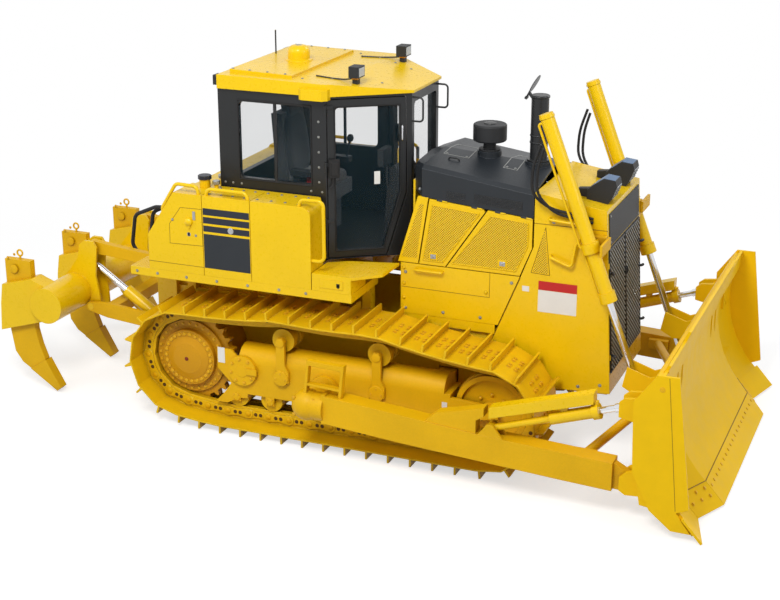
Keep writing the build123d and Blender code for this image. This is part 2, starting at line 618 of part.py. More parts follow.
def build_hood():
    outer = loft([hood_section(*row) for row in HOOD_SECTIONS], ruled=True)
    rows = [list(row) for row in HOOD_SECTIONS]
    rows[0][0] += HOOD_SKIN
    rows[-1][0] += 1
    hood = outer - loft([hood_section(*row, skin=HOOD_SKIN) for row in rows], ruled=True)
    hood += upright(PRECLEANER_X, 112, 2600, 2668) + upright(STACK_X, 122, 2560, 2612)
    hood -= upright(STACK_X, STACK_R + 8, 2400, 2700)
    for name, stations in ENGINE_HINGE_X.items():
        for x, (fixed, moving, room) in zip(stations, engine_hinges(name)):
            edge = height_at(HOOD_EDGE, x)
            along_edge = (x + 4, x + KNUCKLE_LENGTH - 4)
            tab = fixed + block(along_edge, (HULL_HALF - 12, HULL_HALF), (edge - SWING, edge + 4))
            hood += tab + mirrored(tab)
    add("hood", hood)

    pan = fillet(upright(PRECLEANER_X, 155, 2755, 2915).edges().filter_by(GeomType.CIRCLE), 18)
    add("precleaner", upright(PRECLEANER_X, 100, 2668, 2684) + upright(PRECLEANER_X, 58, 2684, 2760) + pan)

    stack = upright(STACK_X, STACK_R, 2200, STACK_TOP) + upright(STACK_X, 106, 2612, 2630)
    stack -= upright(STACK_X, STACK_R - 8, 2300, STACK_TOP + 1)
    x, z = CAP_HINGE
    for y in (-CAP_ARM - 8, CAP_ARM):
        lug = [(STACK_X - STACK_R + 4, STACK_TOP - 40), (x - 9, z - 8), (x - 9, z + 2), (x - 4, z + 9),
               (x + 4, z + 9), (x + 8, z), (STACK_X - STACK_R + 4, STACK_TOP - 10)]
        stack += slab(lug, y, y + 8)
    add("exhaust_stack", stack - cross_pin(CAP_HINGE, CAP_PIN_R + CLEAR, -50, 50))

    # flap over the exhaust with its counterweight, drawn shut and then turned up on its hinge
    lid_z = STACK_TOP + 6
    lid = upright(STACK_X, STACK_R + 8, lid_z, lid_z + 6)
    lid += block((x - 45, STACK_X), (1 - CAP_ARM, CAP_ARM - 1), (lid_z, lid_z + 16))
    lid += cross_pin(CAP_HINGE, CAP_PIN_R + 3, 1 - CAP_ARM, CAP_ARM - 1)
    lid += cross_pin(CAP_HINGE, CAP_PIN_R, -CAP_ARM - 12, CAP_ARM + 12)
    lid += block((x - 62, x - 40), (-CAP_ARM * 2, CAP_ARM * 2), (lid_z - 4, lid_z + 20))
    add("rain_cap", lid.rotate(Axis((x, 0, z), (0, 1, 0)), -CAP_OPEN))


# ---------------------------------------------------------------- cab
def cab_plan(inset=0.0):
    """Six-sided plan of the cab walls, drawn in by a wall thickness."""
    face = outline([(CAB_REAR_X, -CAB_HALF), (CAB_PILLAR_X, -CAB_HALF), (CAB_FRONT_X, -CAB_FRONT_HALF),
                    (CAB_FRONT_X, CAB_FRONT_HALF), (CAB_PILLAR_X, CAB_HALF), (CAB_REAR_X, CAB_HALF)])
    return offset(face, -inset, kind=Kind.INTERSECTION) if inset else face


def door_prism(points, front, back, grow=0.0, radius=0.0):
    """A prism through the right door wall. Points are distance from the hinge pillar and height."""
    run = Vector(CAB_FRONT_X - CAB_PILLAR_X, CAB_HALF - CAB_FRONT_HALF, 0).normalized()
    wall = Plane(origin=(CAB_PILLAR_X, -CAB_HALF, 0), x_dir=run, z_dir=run.cross(Vector(0, 0, 1)))
    face = outline(points, radius)
    if grow:
        face = offset(face, grow, kind=Kind.INTERSECTION)
    return extrude(wall.offset(-back) * face, amount=back - front)


def roof_space():
    """All that lies under the top of the roof and over its lower edge."""
    return slab(ROOF_SIDE, -CAB_HALF - 100, CAB_HALF + 100)


def build_cab():
    low, high = CAB_Z
    shell = extrude(Plane.XY.offset(low) * cab_plan(), amount=high - low)
    shell -= extrude(Plane.XY.offset(low + CAB_FLOOR) * cab_plan(CAB_WALL), amount=high - low - 2 * CAB_FLOOR)
    side_pane = [(455, 2390), (1195, 2390), (1195, 3105), (455, 3105)]
    rear_pane = [(-560, 2330), (560, 2330), (560, 3080), (-560, 3080)]
    front_pane = [(-285, 2360), (285, 2360), (285, 3120), (-285, 3120)]
    shell -= slab(side_pane, -CAB_HALF - 1, CAB_HALF + 1, radius=55)
    shell -= beam(rear_pane, CAB_REAR_X - 1, CAB_REAR_X + CAB_WALL + 1, radius=50)
    shell -= beam(front_pane, CAB_FRONT_X - CAB_WALL - 1, CAB_FRONT_X + 1, radius=40)
    opening = door_prism(DOOR_EDGE, -20, CAB_WALL + 30, grow=SWING)
    shell -= opening + mirrored(opening)
    # bar down the middle of each side window, and the grab loops at the front corners
    bar = block((810, 836), (CAB_HALF - 22, CAB_HALF - 4), (side_pane[0][1] - 2, side_pane[2][1] + 2))
    wall, reach = CAB_FRONT_X - 10, CAB_FRONT_X + 100
    loop = pipe([(wall, 325, 3170), (reach, 325, 3170), (reach, 325, 2950), (wall, 325, 2950)], 9, 35)
    shell += bar + mirrored(bar) + loop + mirrored(loop)
    straps = []
    x, y, radius, length = CAB_PILLAR_X, -CAB_HALF, DOOR_KNUCKLE_R, DOOR_KNUCKLE_LENGTH
    for z in DOOR_HINGE_Z:
        fixed, moving, room = knuckles((x, y, z), (0, 0, 1), radius, length)
        top = z + length
        swing = shaft((x, y, top), (x, y, top + length + 1), radius + CLEAR)
        shell += fixed + mirrored(fixed)
        shell -= swing + mirrored(swing)
        strap = [(2, top + 5), (70, top + 5), (70, top + length - 5), (2, top + length - 5)]
        straps += [moving, door_prism(strap, -8, 2)]
    add("cab_frame", shell)

    side = slab(side_pane, CAB_HALF - 30, CAB_HALF - 30 + PANE, radius=55)
    rear = beam(rear_pane, CAB_REAR_X + 20, CAB_REAR_X + 20 + PANE, radius=50)
    front = beam(front_pane, CAB_FRONT_X - 30, CAB_FRONT_X - 30 + PANE, radius=40)
    add("cab_glass", side, mirrored(side), rear, front)

    leaf = door_prism(DOOR_EDGE, 0, DOOR_LEAF) - door_prism(DOOR_PANE, -1, DOOR_LEAF + 1, radius=30)
    for strap in straps:
        leaf += strap
    glass = door_prism(DOOR_PANE, 18, 18 + PANE, radius=30)
    for name, piece in (("cab_door", leaf), ("door_glass", glass)):
        add(name + "_right", piece)
        add(name + "_left", mirrored(piece))

    eave, nose = CAB_HALF + ROOF_EAVE, CAB_FRONT_HALF + 7
    plan = [(262, -eave), (1352, -eave), (2010, -nose), (2010, nose), (1352, eave), (262, eave)]
    roof = deck(plan, high - 50, high + 200) & roof_space()
    # raised receiver plate at the back with its domed box
    raised = [(330, high + 100), (960, high + 100), (960, high + 142), (330, high + 160)]
    roof += slab(raised, 100 - CAB_HALF, CAB_HALF - 100)
    roof += fillet(upright(700, 105, high + 130, high + 290).edges().group_by(Axis.Z)[-1], 60)
    # camera housing over the right rear window, with its forward corner cut off, and the aerial
    side = -CAB_HALF
    camera = [(1110, side), (1110, side - 80), (1140, side - 105), (1340, side - 105), (1383, side - 60),
              (1383, side)]
    roof += deck(camera, DOOR_EDGE[3][1] + SWING, high + 72)
    roof += upright(375, 6, high + 140, high + 385, 170)
    add("cab_roof", roof)

    floor = low + CAB_FLOOR
    seat = block((620, 1120), (-270, 270), (floor + 330, floor + 470))
    back = [(560, floor + 400), (680, floor + 400), (620, floor + 1150), (510, floor + 1150)]
    seat += slab(back, -240, 240)
    seat += block((700, 1040), (-180, 180), (floor, floor + 330))
    add("seat", seat)
    add("console", slab([(1640, floor), (1860, floor), (1860, floor + 620), (1760, floor + 760),
                         (1700, floor + 720)], -210, 210))


def cabinet_block():
    """The plain left cabinet: sloped at the rear, rounded at the front."""
    (rear, front), top, low, inner = CABINET_X, CABINET_TOP, DECK_Z[1], CAB_HALF + CABINET_GAP
    profile = outline([(rear, low), (front, low), (front, top - 90), (front - 90, top - 90),
                       (front - 90, top), (-45, top), (rear, 1860)])
    profile += Pos(front - 90, top - 90) * Circle(90)
    cabinet = extrude(Plane.XZ.offset(-DECK_HALF) * profile, amount=DECK_HALF - inner)
    # corner cut away where the open cab door swings past
    corner = [(front - 77, inner - 25), (front + 8, inner - 25), (front + 8, inner + 118)]
    return cabinet - deck(corner, low, top + 1)


def build_deck():
    low, high = DECK_Z
    skin = 20
    fender = block((-540, 1740), (565, DECK_HALF), (low, high))
    fender -= block((-520, 1720), (500, DECK_HALF - skin), (low - 1, high - skin))
    for x in (-260, 780, 1600):
        fender += block((x, x + 90), (RAIL_HALF_Y[0], 620), (RAIL_TOP, high - 1))
    add_pair("fenders", fender)
    plan = [(1352, CAB_HALF + 50), (1520, CAB_HALF - 60), (1975, CAB_HALF - 180), (1960, DECK_HALF - 205),
            (1740, DECK_HALF), (1352, DECK_HALF)]
    platform = deck(plan, PLATFORM_Z - 28, PLATFORM_Z)
    platform += block((1352, 1735), (CAB_HALF + 50, DECK_HALF), (high, PLATFORM_Z - 20))
    add_pair("platforms", platform)
    top = CABINET_TOP
    cabinet, inner = cabinet_block(), CAB_HALF + CABINET_GAP
    # seams between its three sections
    for x in CABINET_SEAMS:
        cabinet -= block((x - 3, x + 3), (inner + 60, DECK_HALF + 1), (high + 1, top + 1))
        cabinet += block((x - 4, x + 4), (inner + 60, DECK_HALF - 8), (high, top - 8))
    add_pair("cabinets", cabinet)
    add("rear_tank", slab(tank_side(), -CAB_HALF, CAB_HALF))


def build_fittings():
    """Hand rails and filler caps."""
    top, y = CABINET_TOP, DECK_HALF - DECK_RAIL_INSET
    rails = [
        [(-175, y, 2000), (-175, y, top - 160), (-25, y, top + 78), (195, y, top + 72), (215, y, top - 40)],
        [(290, y, top - 40), (290, y, top + 60), (710, y, top + 60), (710, y, top - 40)],
        [(1225, y, top - 40), (1231, y, top + 58), (1463, y, top + 61), (1465, y, 1790), (1330, y, 1790)],
    ]
    cabinet = cabinet_block()
    for points in rails:
        add_pair("handrails", pipe(points, RAIL_TUBE_R, RAIL_BEND) - cabinet)
    y, wall = NOSE_RAIL_Y, HULL_HALF
    nose_rail = [(3385, wall, 2262), (3385, y, 2262), (3745, y, 2240), (3640, y, 2057), (3605, y, 1850),
                 (3408, y, 1920), (3408, wall, 1920)]
    add_pair("handrails", pipe(nose_rail, 13, 30))

    # caps of the fuel and oil fillers, on the right cabinet and on the tank
    on_cabinet, on_tank = -CAB_HALF - CABINET_GAP - 78, 120 - CAB_HALF
    for x, y, base, neck, cap, rise in ((136, on_cabinet, top, 52, 62, 110), (257, on_cabinet, top, 20, 34, 70),
                                        (200, on_tank, top - 20, 20, 34, 90)):
        add("filler_caps", upright(x, neck, base, base + rise - 28, y)
            + upright(x, cap, base + rise - 28, base + rise, y))


def tank_side():
    """Side outline of the tank behind the cab."""
    rear, front, top = CABINET_X[0], CAB_REAR_X - 6, CABINET_TOP - 20
    return [(rear, DECK_Z[1]), (front, DECK_Z[1]), (front, top), (-45, top), (rear, 1850)]


def build_hoses():
    """Hoses that loop out of the tank and back to the rear plate of the hull."""
    loops = {
        385: [(-240, 1900), (-720, 1865), (-960, 1760), (-1010, 1450), (-880, 1250), (RIPPER_PLATE_X, 1250)],
        325: [(-240, 1905), (-560, 1900), (-790, 1790), (-830, 1480), (-720, 1310), (RIPPER_PLATE_X, 1310)],
    }
    for y, places in loops.items():
        hose = pipe([(x, y, z) for x, z in places], HOSE_R, 90) - slab(tank_side(), 0, CAB_HALF)
        add_pair("hoses", hose)


def build_lamps():
    high = CAB_Z[1]
    inner, outer = CAB_FRONT_HALF + 155, CAB_FRONT_HALF + 295
    lamp = block((1490, 1590), (inner, outer), (high + 150, high + 250))
    lamp += block((1510, 1560), (inner + 40, outer - 40), (high, high + 150))
    add_pair("work_lamps", lamp - roof_space())
    add_pair("work_lamps", block((200, 262), (CAB_HALF - 110, CAB_HALF - 10), (high + 20, high + 110)))
    top = (NOSE_FRONT[1], NOSE_REAR_TOP)
    case = [(3655, height_at(top, 3655)), (3845, height_at(top, 3845)), (3875, 2430), (3920, 2545),
            (3905, 2600), (3800, 2612), (3700, 2540), (3655, 2500)]
    foot = [(3560, height_at(top, 3560)), (3660, height_at(top, 3660)), (3660, 2500), (3560, 2490)]
    head = slab(case, 230, 410) + slab(foot, 290, 360)
    add_pair("head_lamps", head)


# ---------------------------------------------------------------- blade
def push_arm():
    """Box arm from the trunnion ball to the blade pin, with its tilt bracket and its brace."""
    low, high = ARM_Y
    middle = (low + high) / 2
    side = [(1640, 700), (3118, 575), (4290, 515), (4290, 262), (3843, 285), (2400, 371), (1640, 433)]
    body = slab(side, low, high)
    x, z = TRUNNION
    body += Pos(x, middle, z) * Rot(90, 0, 0) * Sphere(BALL_R)
    body += shaft((x, middle, z), (1641, middle, z), BALL_R - 16)
    body += block((1625, 1665), (low, high), (428, 708))
    body -= cross_pin(TRUNNION, 60 + CLEAR, low - 200, middle + 5)
    body -= block((TRUNNION[0] - 200, TRUNNION[0] + 180), (low - 200, low - 4), (300, 900))
    # eye for the blade pin
    x, z = ARM_PIN
    body += slab([(4289, 500), (x, z + 85), (x, z - 85), (4289, 265)], middle - 40, middle + 40)
    body += cross_pin(ARM_PIN, 85, middle - 40, middle + 40)
    body -= cross_pin(ARM_PIN, 40 + CLEAR, middle - 50, middle + 50)
    # tilt cylinder bracket with its pin
    x, z = TILT_BASE
    for y in (TILT_Y - 68, TILT_Y + 40):
        body += slab([(x - 120, 560), (x - 50, z + 20), (x - 30, z + 52), (x + 30, z + 52), (x + 50, z + 20),
                      (x + 120, 560)], y, y + 28)
    body += cross_pin(TILT_BASE, 24, TILT_Y - 68, TILT_Y + 68)
    # raised guard in front of the tilt cylinder's foot
    body += slab([(2590, 600), (2717, 713), (3150, 824), (3150, 745), (3080, 700), (3080, 560), (2600, 560)],
                 TILT_Y - 60, TILT_Y + 60)
    # step with two uprights and two treads
    for foot, head in ((1452, 1490), (1790, 1828)):
        upright_bar = [(foot - 14, 640), (foot + 14, 640), (head + 13, 1000), (head - 13, 1000)]
        body += slab(upright_bar, middle, middle + 62)
    body += slab([(1477, 1008), (1841, 992), (1837, 946), (1473, 962)], middle, middle + 62)
    body += slab([(1462, 790), (1806, 774), (1806, 752), (1462, 768)], middle, middle + 62)
    # brace to the middle of the blade, with its ball end
    body += block((3900, 4100), (low - 70, low), (400, 500))
    body += shaft(BRACE_FOOT, BRACE_HEAD, 42) + Pos(*BRACE_HEAD) * Sphere(BRACE_BALL_R)
    return body


def build_arms():
    add_pair("push_arms", push_arm())
    base, head, y = TILT_BASE, TILT_HEAD, TILT_Y
    length = between(base, head)
    gland = length - 250

    def tube(start, end, radius):
        (x0, z0), (x1, z1) = along(base, head, start), along(base, head, end)
        return shaft((x0, y, z0), (x1, y, z1), radius)

    barrel = tube(40, 560, 32) + tube(550, gland, 55) + tube(gland - 60, gland, 70)
    barrel += cross_pin(base, 48, y - 32, y + 32)
    barrel -= cross_pin(base, 24 + CLEAR, y - 40, y + 40)
    barrel -= tube(gland - 330, gland + 10, TILT_ROD_R + CLEAR)
    # guard over the cylinder, carried on two posts
    barrel += slab([(3195, 736), (3195, 836), (4102, 1115), (4102, 1015)], y - 60, y + 60)
    for distance in (640, gland - 80):
        x, z = along(base, head, distance)
        barrel += block((x, x + 60), (y - 20, y + 20), (z, z + 110))
    add_pair("tilt_barrels", barrel - tube(gland - 330, gland + 10, TILT_ROD_R + CLEAR))
    rod = tube(gland - 240, length - 30, TILT_ROD_R) + tube(length - 110, length - 30, 38)
    add_pair("tilt_rods", rod + Pos(head[0], y, head[1]) * Sphere(46))


def edge_frame(shift):
    """Lower and upper front corners of a cutting edge, and the unit step to its back."""
    low, top = (EDGE_LOW[0] - shift, EDGE_LOW[1]), (EDGE_TOP[0] - shift, EDGE_TOP[1])
    length = between(low, top)
    back = (-(top[1] - low[1]) / length, (top[0] - low[0]) / length)
    return low, top, back


def moved(point, back, distance):
    return (point[0] + back[0] * distance, point[1] + back[1] * distance)


def edge_section(y):
    """Side section of a cutting edge at one station across."""
    low, top, back = edge_frame(wing_shift(y))
    points = [low, top, moved(top, back, EDGE_PLATE), moved(low, back, EDGE_PLATE)]
    return Plane.XZ.offset(-y) * outline(points)


def wing_shift(y):
    """How far the blade's lower edge lies behind its middle part, at one station across."""
    if y <= EDGE_HALF:
        return 0.0
    if y <= WING_Y:
        return WING_BACK * (y - EDGE_HALF) / (WING_Y - EDGE_HALF)
    return WING_BACK - BIT_SLOPE * (y - WING_Y)


def mold_section(y):
    """Side section of the moldboard: a concave plate, and the backing of its cutting edge."""
    low, top, back = edge_frame(wing_shift(y))
    near, far = EDGE_PLATE, EDGE_PLATE + PLATE
    high, high_back = BLADE_TOP, (BLADE_TOP[0] - PLATE, BLADE_TOP[1])
    foot = along(low, top, between(low, top) * 0.3)
    low_back = moved(top, back, far)
    middle = along(top, high, between(top, high) / 2, side=BLADE_DEPTH)
    back_middle = along(low_back, high_back, between(low_back, high_back) / 2, side=BLADE_DEPTH)
    wire = Wire([
        ThreePointArc(top, middle, high),
        Line(high, high_back),
        ThreePointArc(high_back, back_middle, low_back),
        Line(low_back, moved(foot, back, far)),
        Line(moved(foot, back, far), moved(foot, back, near)),
        Line(moved(foot, back, near), moved(top, back, near)),
        Line(moved(top, back, near), top),
    ])
    return Plane.XZ.offset(-y) * make_face(wire)


def build_blade():
    inner_end = BLADE_HALF - PLATE
    half = loft([mold_section(y) for y in (0.0, EDGE_HALF, WING_Y, inner_end)], ruled=True)
    board = half + mirrored(half)
    end_plate = [(4656, 1425), (4834, 1425), (4975, 290), (4871, 244), (4999, 73), (4835, 75), (4648, 229),
                 (4491, 548), (4470, 1167)]
    pieces = [
        slab(end_plate, inner_end, BLADE_HALF),
        # box along the bottom of the back
        slab([(4600, 560), (4530, 420), (4560, 250), (4760, 222), (4740, 330), (4690, 480)], 0, inner_end),
        # box along the top of the back
        slab([(4640, 1400), (4600, 1330), (4640, 1240), (4690, 1240), (4705, 1400)], 0, inner_end),
    ]
    # ears and pin for each push arm
    x, z = ARM_PIN
    middle = (ARM_Y[0] + ARM_Y[1]) / 2
    for y in (middle - 85, middle + 45):
        ear = [(x - 75, z - 60), (x - 75, z + 60), (x - 20, z + 110), (4600, 520), (4620, 260),
               (x - 20, z - 95)]
        pieces.append(slab(ear, y, y + 40))
    pieces.append(cross_pin(ARM_PIN, 40, middle - 85, middle + 85))
    # ears each side of the tilt rod's ball
    x, z = TILT_HEAD
    for y in (TILT_Y - 95, TILT_Y + 60):
        ear = [(x - 60, z - 70), (x - 60, z + 60), (x - 10, z + 100), (4610, z + 130), (4610, z - 130)]
        pieces.append(slab(ear, y, y + 35))
    pieces.append(block((4470, 4610), (TILT_Y - 95, TILT_Y + 95), (z - 90, z + 90)))
    # ears each side of the lift rod's eye
    x, z = lift_eye()
    for y in (LIFT_Y - 90, LIFT_Y + 60):
        ear = [(x - 60, z - 60), (x - 60, z + 60), (4600, z + 180), (4655, z + 160), (4655, z - 100),
               (4600, z - 100)]
        pieces.append(slab(ear, y, y + 30))
    # plates above and below the brace balls
    gap = BRACE_BALL_R + 12
    for z in (BRACE_HEAD[2] - gap - PLATE, BRACE_HEAD[2] + gap):
        pieces.append(block((4385, 4645), (0, 170), (z, z + PLATE)))
    pieces.append(block((4560, 4645), (0, 170), (BRACE_HEAD[2] - gap, BRACE_HEAD[2] + gap)))
    # guards each side of the lift rods
    for y in (LIFT_Y - 100, LIFT_Y + 85):
        guard = [(4159, 891), (4196, 1076), (4401, 1008), (4645, 1100), (4645, 880), (4480, 840), (4285, 821)]
        pieces.append(slab(guard, y, y + 15))
    # spill guard, higher in the middle
    lip = [(4670, 1400), (4716, 1400), (4716, 1425), (4732, 1460), (4712, 1471), (4684, 1425)]
    pieces.append(slab(lip, 0, 1650))
    pieces.append(slab([(4690, 1440), (4716, 1425), (4765, 1545), (4742, 1555)], 0, 1050))
    for piece in pieces:
        board += piece + mirrored(piece)
    add("blade", board)

    gap = 2.0
    add("cutting_edges", extrude(edge_section(EDGE_HALF - gap), amount=2 * (EDGE_HALF - gap)))
    for near, far in ((EDGE_HALF, WING_Y - gap), (WING_Y, BIT_Y - gap)):
        add_pair("cutting_edges", loft([edge_section(near + gap), edge_section(far)], ruled=True))


# ---------------------------------------------------------------- lift cylinders
def lift_eye():
    return (at_height((LIFT_TOP, LIFT_GLAND), LIFT_EYE_Z), LIFT_EYE_Z)


def lift_yoke():
    return (at_height((LIFT_TOP, LIFT_GLAND), LIFT_YOKE_Z), LIFT_YOKE_Z)


def build_lift_cylinders():
    y, yoke, eye = LIFT_Y, lift_yoke(), lift_eye()
    full, at_yoke = between(LIFT_TOP, LIFT_GLAND), between(LIFT_TOP, yoke)

    def tube(start, end, radius):
        (x0, z0), (x1, z1) = along(LIFT_TOP, LIFT_GLAND, start), along(LIFT_TOP, LIFT_GLAND, end)
        return shaft((x0, y, z0), (x1, y, z1), radius)

    barrel = tube(0, full, LIFT_BARREL_R) + tube(full - 90, full, LIFT_BARREL_R + 14)
    barrel += tube(at_yoke - 45, at_yoke + 45, LIFT_BARREL_R + 18) + cross_pin(yoke, 38, y - 130, y)
    # oil pipes behind the barrel, from its trunnion up to its top and down to its gland
    def beside(distance, side, across):
        x, z = along(LIFT_TOP, LIFT_GLAND, distance, side=-side)
        return (x, y + across, z)

    reach = LIFT_BARREL_R + 22
    for across, start, end in ((26, 70, at_yoke - 20), (-26, at_yoke - 20, full - 60)):
        barrel += pipe([beside(start, 30, across), beside(start, reach, across), beside(end, reach, across),
                        beside(end, 30, across)], 11, 20)
    barrel += tube(18, 40, LIFT_BARREL_R + 6)
    add_pair("lift_barrels", barrel - tube(40, full + 10, LIFT_ROD_R + CLEAR))
    reach = between(LIFT_TOP, eye)
    rod = tube(full - LIFT_ROD_INSIDE, reach - 30, LIFT_ROD_R)
    add_pair("lift_rods", rod + cross_pin(eye, 55, y - 45, y + 45))
    x, z = yoke
    front = at_height(NOSE_FRONT, z - 75)
    outer = HULL_HALF + LIFT_BRACKET
    bracket = block((x - 48, front), (HULL_HALF, outer), (z - 75, z + 75))
    bracket += cross_pin(yoke, 75, HULL_HALF, outer)
    bracket += block((x + 112, x + 135), (HULL_HALF + 1, LIFT_Y + 137), (z - 40, z + 65))
    add_pair("lift_yokes", bracket - cross_pin(yoke, 38 + CLEAR, y - 140, y))


# ---------------------------------------------------------------- ripper
def ripper_link(pin, rear_radius, front_radius, across):
    """A tapered link between a beam pin and its hull pin, with bored ends."""
    front = hull_pin(pin)
    length = between(pin, front)
    corners = [along(pin, front, 0, rear_radius), along(pin, front, 200, front_radius),
               along(pin, front, length, front_radius), along(pin, front, length, -front_radius),
               along(pin, front, 200, -front_radius), along(pin, front, 0, -rear_radius)]
    body = slab(corners, *across) + cross_pin(pin, rear_radius, *across)
    body += cross_pin(front, front_radius, *across)
    for end in (pin, front):
        body -= cross_pin(end, 35 + CLEAR, across[0] - 1, across[1] + 1)
    return body


def build_ripper():
    arm = ripper_link(RIPPER_ARM_PIN, 50, 76, RIPPER_ARM_Y)
    arms = arm + mirrored(arm)
    arms += block((-1225, -1090), (-RIPPER_ARM_Y[0] - 1, RIPPER_ARM_Y[0] + 1), (740, 850))
    add("ripper_arms", arms)
    add_pair("ripper_links", ripper_link(RIPPER_LINK_PIN, 66, 58, RIPPER_LINK_Y))

    x, z = BEAM
    tube = cross_pin(BEAM, BEAM_R, -BEAM_HALF, BEAM_HALF)
    pocket = [(-2160, 612), (-1600, z - BEAM_R + 6), (-1600, z + BEAM_R - 6), (-1766, 1195), (-2108, 1105),
              (-2140, 900)]
    for y in SHANK_Y:
        tube += slab(pocket, y - 95, y + 95)
    ear = [(-1700, 1090), (-1530, 1300), (-1500, 1450), (-1440, 1495), (-1340, 1495), (-1300, 1430),
           (-1330, 1130), (-1300, 950), (-1294, 800), (-1340, 740), (-1420, 740), (-1520, 880)]
    for near, far in RIPPER_EARS:
        plate = slab(ear, near, far, radius=12)
        tube += plate + mirrored(plate)
    for pin, near, far in ((RIPPER_ARM_PIN, RIPPER_EARS[1][0], RIPPER_ARM_Y[1]),
                           (RIPPER_LINK_PIN, RIPPER_EARS[0][0], RIPPER_EARS[1][1])):
        pin = cross_pin(pin, 35, near, far)
        tube += pin + mirrored(pin)
    for y in SHANK_Y:
        tube -= block((SHANK_X[0], SHANK_X[1]), (y - SHANK_HALF, y + SHANK_HALF), (500, 1300))
    add("ripper_beam", tube)

    for y in SHANK_Y:
        shank = slab([(SHANK_X[0], 1360), (SHANK_X[1], 1360), (SHANK_X[1], 640), (-1755, 480), (-1701, 334),
                      (-1760, 240), (-1865, 202), (-1975, 270), (-2054, 380), (SHANK_X[0], 610)],
                     y - SHANK_HALF, y + SHANK_HALF)
        tip = [(-1880, 215), (-1690, 335), (-1533, 53), (-1578, 15)]
        shank += slab(tip, y - SHANK_HALF - 14, y + SHANK_HALF + 14)
        shank -= cross_pin(SHANK_PIN, SHANK_PIN_R, y - 60, y + 60)
        eye = Pos(SHANK_PIN[0] + 45, y, 1425) * Rot(90, 0, 0) * Torus(30, 9)
        shank += eye + upright(SHANK_PIN[0] + 45, 11, 1355, 1400, y)
        add("ripper_shanks", shank)

    base, head, y = RIPPER_BARREL_PIN, RIPPER_ROD_PIN, RIPPER_CYLINDER_Y
    length = between(base, head)
    gland = 545

    def tube_along(start, end, radius):
        (x0, z0), (x1, z1) = along(base, head, start), along(base, head, end)
        return shaft((x0, y, z0), (x1, y, z1), radius)

    barrel = tube_along(0, gland, 62)
    barrel += cross_pin(base, 70, y - 50, y + 50)
    barrel -= cross_pin(base, 35 + CLEAR, y - 80, y + 80)
    add_pair("ripper_barrels", barrel - tube_along(90, gland + 5, RIPPER_ROD_R + CLEAR))
    rod = tube_along(gland - 250, length - 20, RIPPER_ROD_R) + cross_pin(head, 52, y - 45, y + 45)
    add_pair("ripper_rods", rod)


# ---------------------------------------------------------------- output
def main():
    build_undercarriage()
    build_hull()
    build_nose()
    build_engine_covers()
    build_hood()
    build_cab()
    build_deck()
    build_fittings()
    build_hoses()
    build_lamps()
    build_arms()
    build_blade()
    build_lift_cylinders()
    build_ripper()

    parts = {}
    for name, shapes in NODES.items():
        solids = [solid for shape in shapes for solid in shape.solids()]
        parts[name] = solids[0] if len(solids) == 1 else Compound(solids)
    boxes = [part.bounding_box() for part in parts.values()]
    middle = (min(b.min.X for b in boxes) + max(b.max.X for b in boxes)) / 2
    os.makedirs("parts", exist_ok=True)
    for name, part in parts.items():
        export_step(Pos(-middle, 0, 0) * part, f"parts/{name}.step")
    print("origin at x =", round(middle, 3), "from the sprocket axles,", len(parts), "nodes")


main()
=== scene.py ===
import cmath
import math

import bmesh
import bpy
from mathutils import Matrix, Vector


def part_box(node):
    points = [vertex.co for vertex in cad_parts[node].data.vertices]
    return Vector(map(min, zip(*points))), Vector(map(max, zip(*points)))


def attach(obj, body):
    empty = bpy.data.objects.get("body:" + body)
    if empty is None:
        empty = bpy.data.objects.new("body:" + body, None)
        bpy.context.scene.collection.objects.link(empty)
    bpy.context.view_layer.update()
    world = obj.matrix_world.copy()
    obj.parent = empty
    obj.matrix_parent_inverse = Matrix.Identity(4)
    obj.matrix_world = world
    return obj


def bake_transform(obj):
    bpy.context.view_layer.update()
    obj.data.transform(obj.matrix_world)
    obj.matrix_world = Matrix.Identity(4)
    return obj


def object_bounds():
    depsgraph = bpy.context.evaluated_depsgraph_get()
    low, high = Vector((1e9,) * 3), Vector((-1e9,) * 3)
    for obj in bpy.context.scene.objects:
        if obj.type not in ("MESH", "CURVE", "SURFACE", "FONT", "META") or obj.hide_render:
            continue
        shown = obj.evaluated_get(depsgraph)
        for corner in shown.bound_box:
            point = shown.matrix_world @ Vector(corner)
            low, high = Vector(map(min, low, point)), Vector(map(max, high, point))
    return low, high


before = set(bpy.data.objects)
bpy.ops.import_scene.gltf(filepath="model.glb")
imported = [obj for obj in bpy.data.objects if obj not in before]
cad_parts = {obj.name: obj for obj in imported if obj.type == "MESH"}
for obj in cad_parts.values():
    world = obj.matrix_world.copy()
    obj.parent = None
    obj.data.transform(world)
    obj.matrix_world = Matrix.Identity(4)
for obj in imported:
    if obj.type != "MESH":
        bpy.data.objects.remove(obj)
cad_low, cad_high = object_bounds()

# ------ places
# The drawing's x runs from the sprocket axle; heights and widths are the frame's own.
sprocket_low, sprocket_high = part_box("sprockets")
AXLE_X = (sprocket_low.x + sprocket_high.x) / 2


def at(x, y, z):
    """A place in the frame, in metres, from drawing millimetres measured from the sprocket axle."""
    return Vector((x / 1000 + AXLE_X, y / 1000, z / 1000))


def rect(u0, u1, v0, v1):
    """The corners of a rectangle in one plane."""
    return [(u0, v0), (u1, v0), (u1, v1), (u0, v1)]


def around(points):
    """Each place of a closed outline with the next one."""
    return zip(points, [*points[1:], points[0]])


# Directions, the two sides, and the side faces that details lie on, in millimetres from the middle plane.
RIGHT, UP, DOWN = (0, -1, 0), (0, 0, 1), (0, 0, -1)
SIDES = (("right", -1), ("left", 1))
COVER_Y, CAB_Y, FRAME_Y, CABINET_Y, BLADE_END_Y = 600, 800, 1150, 1190, 1790


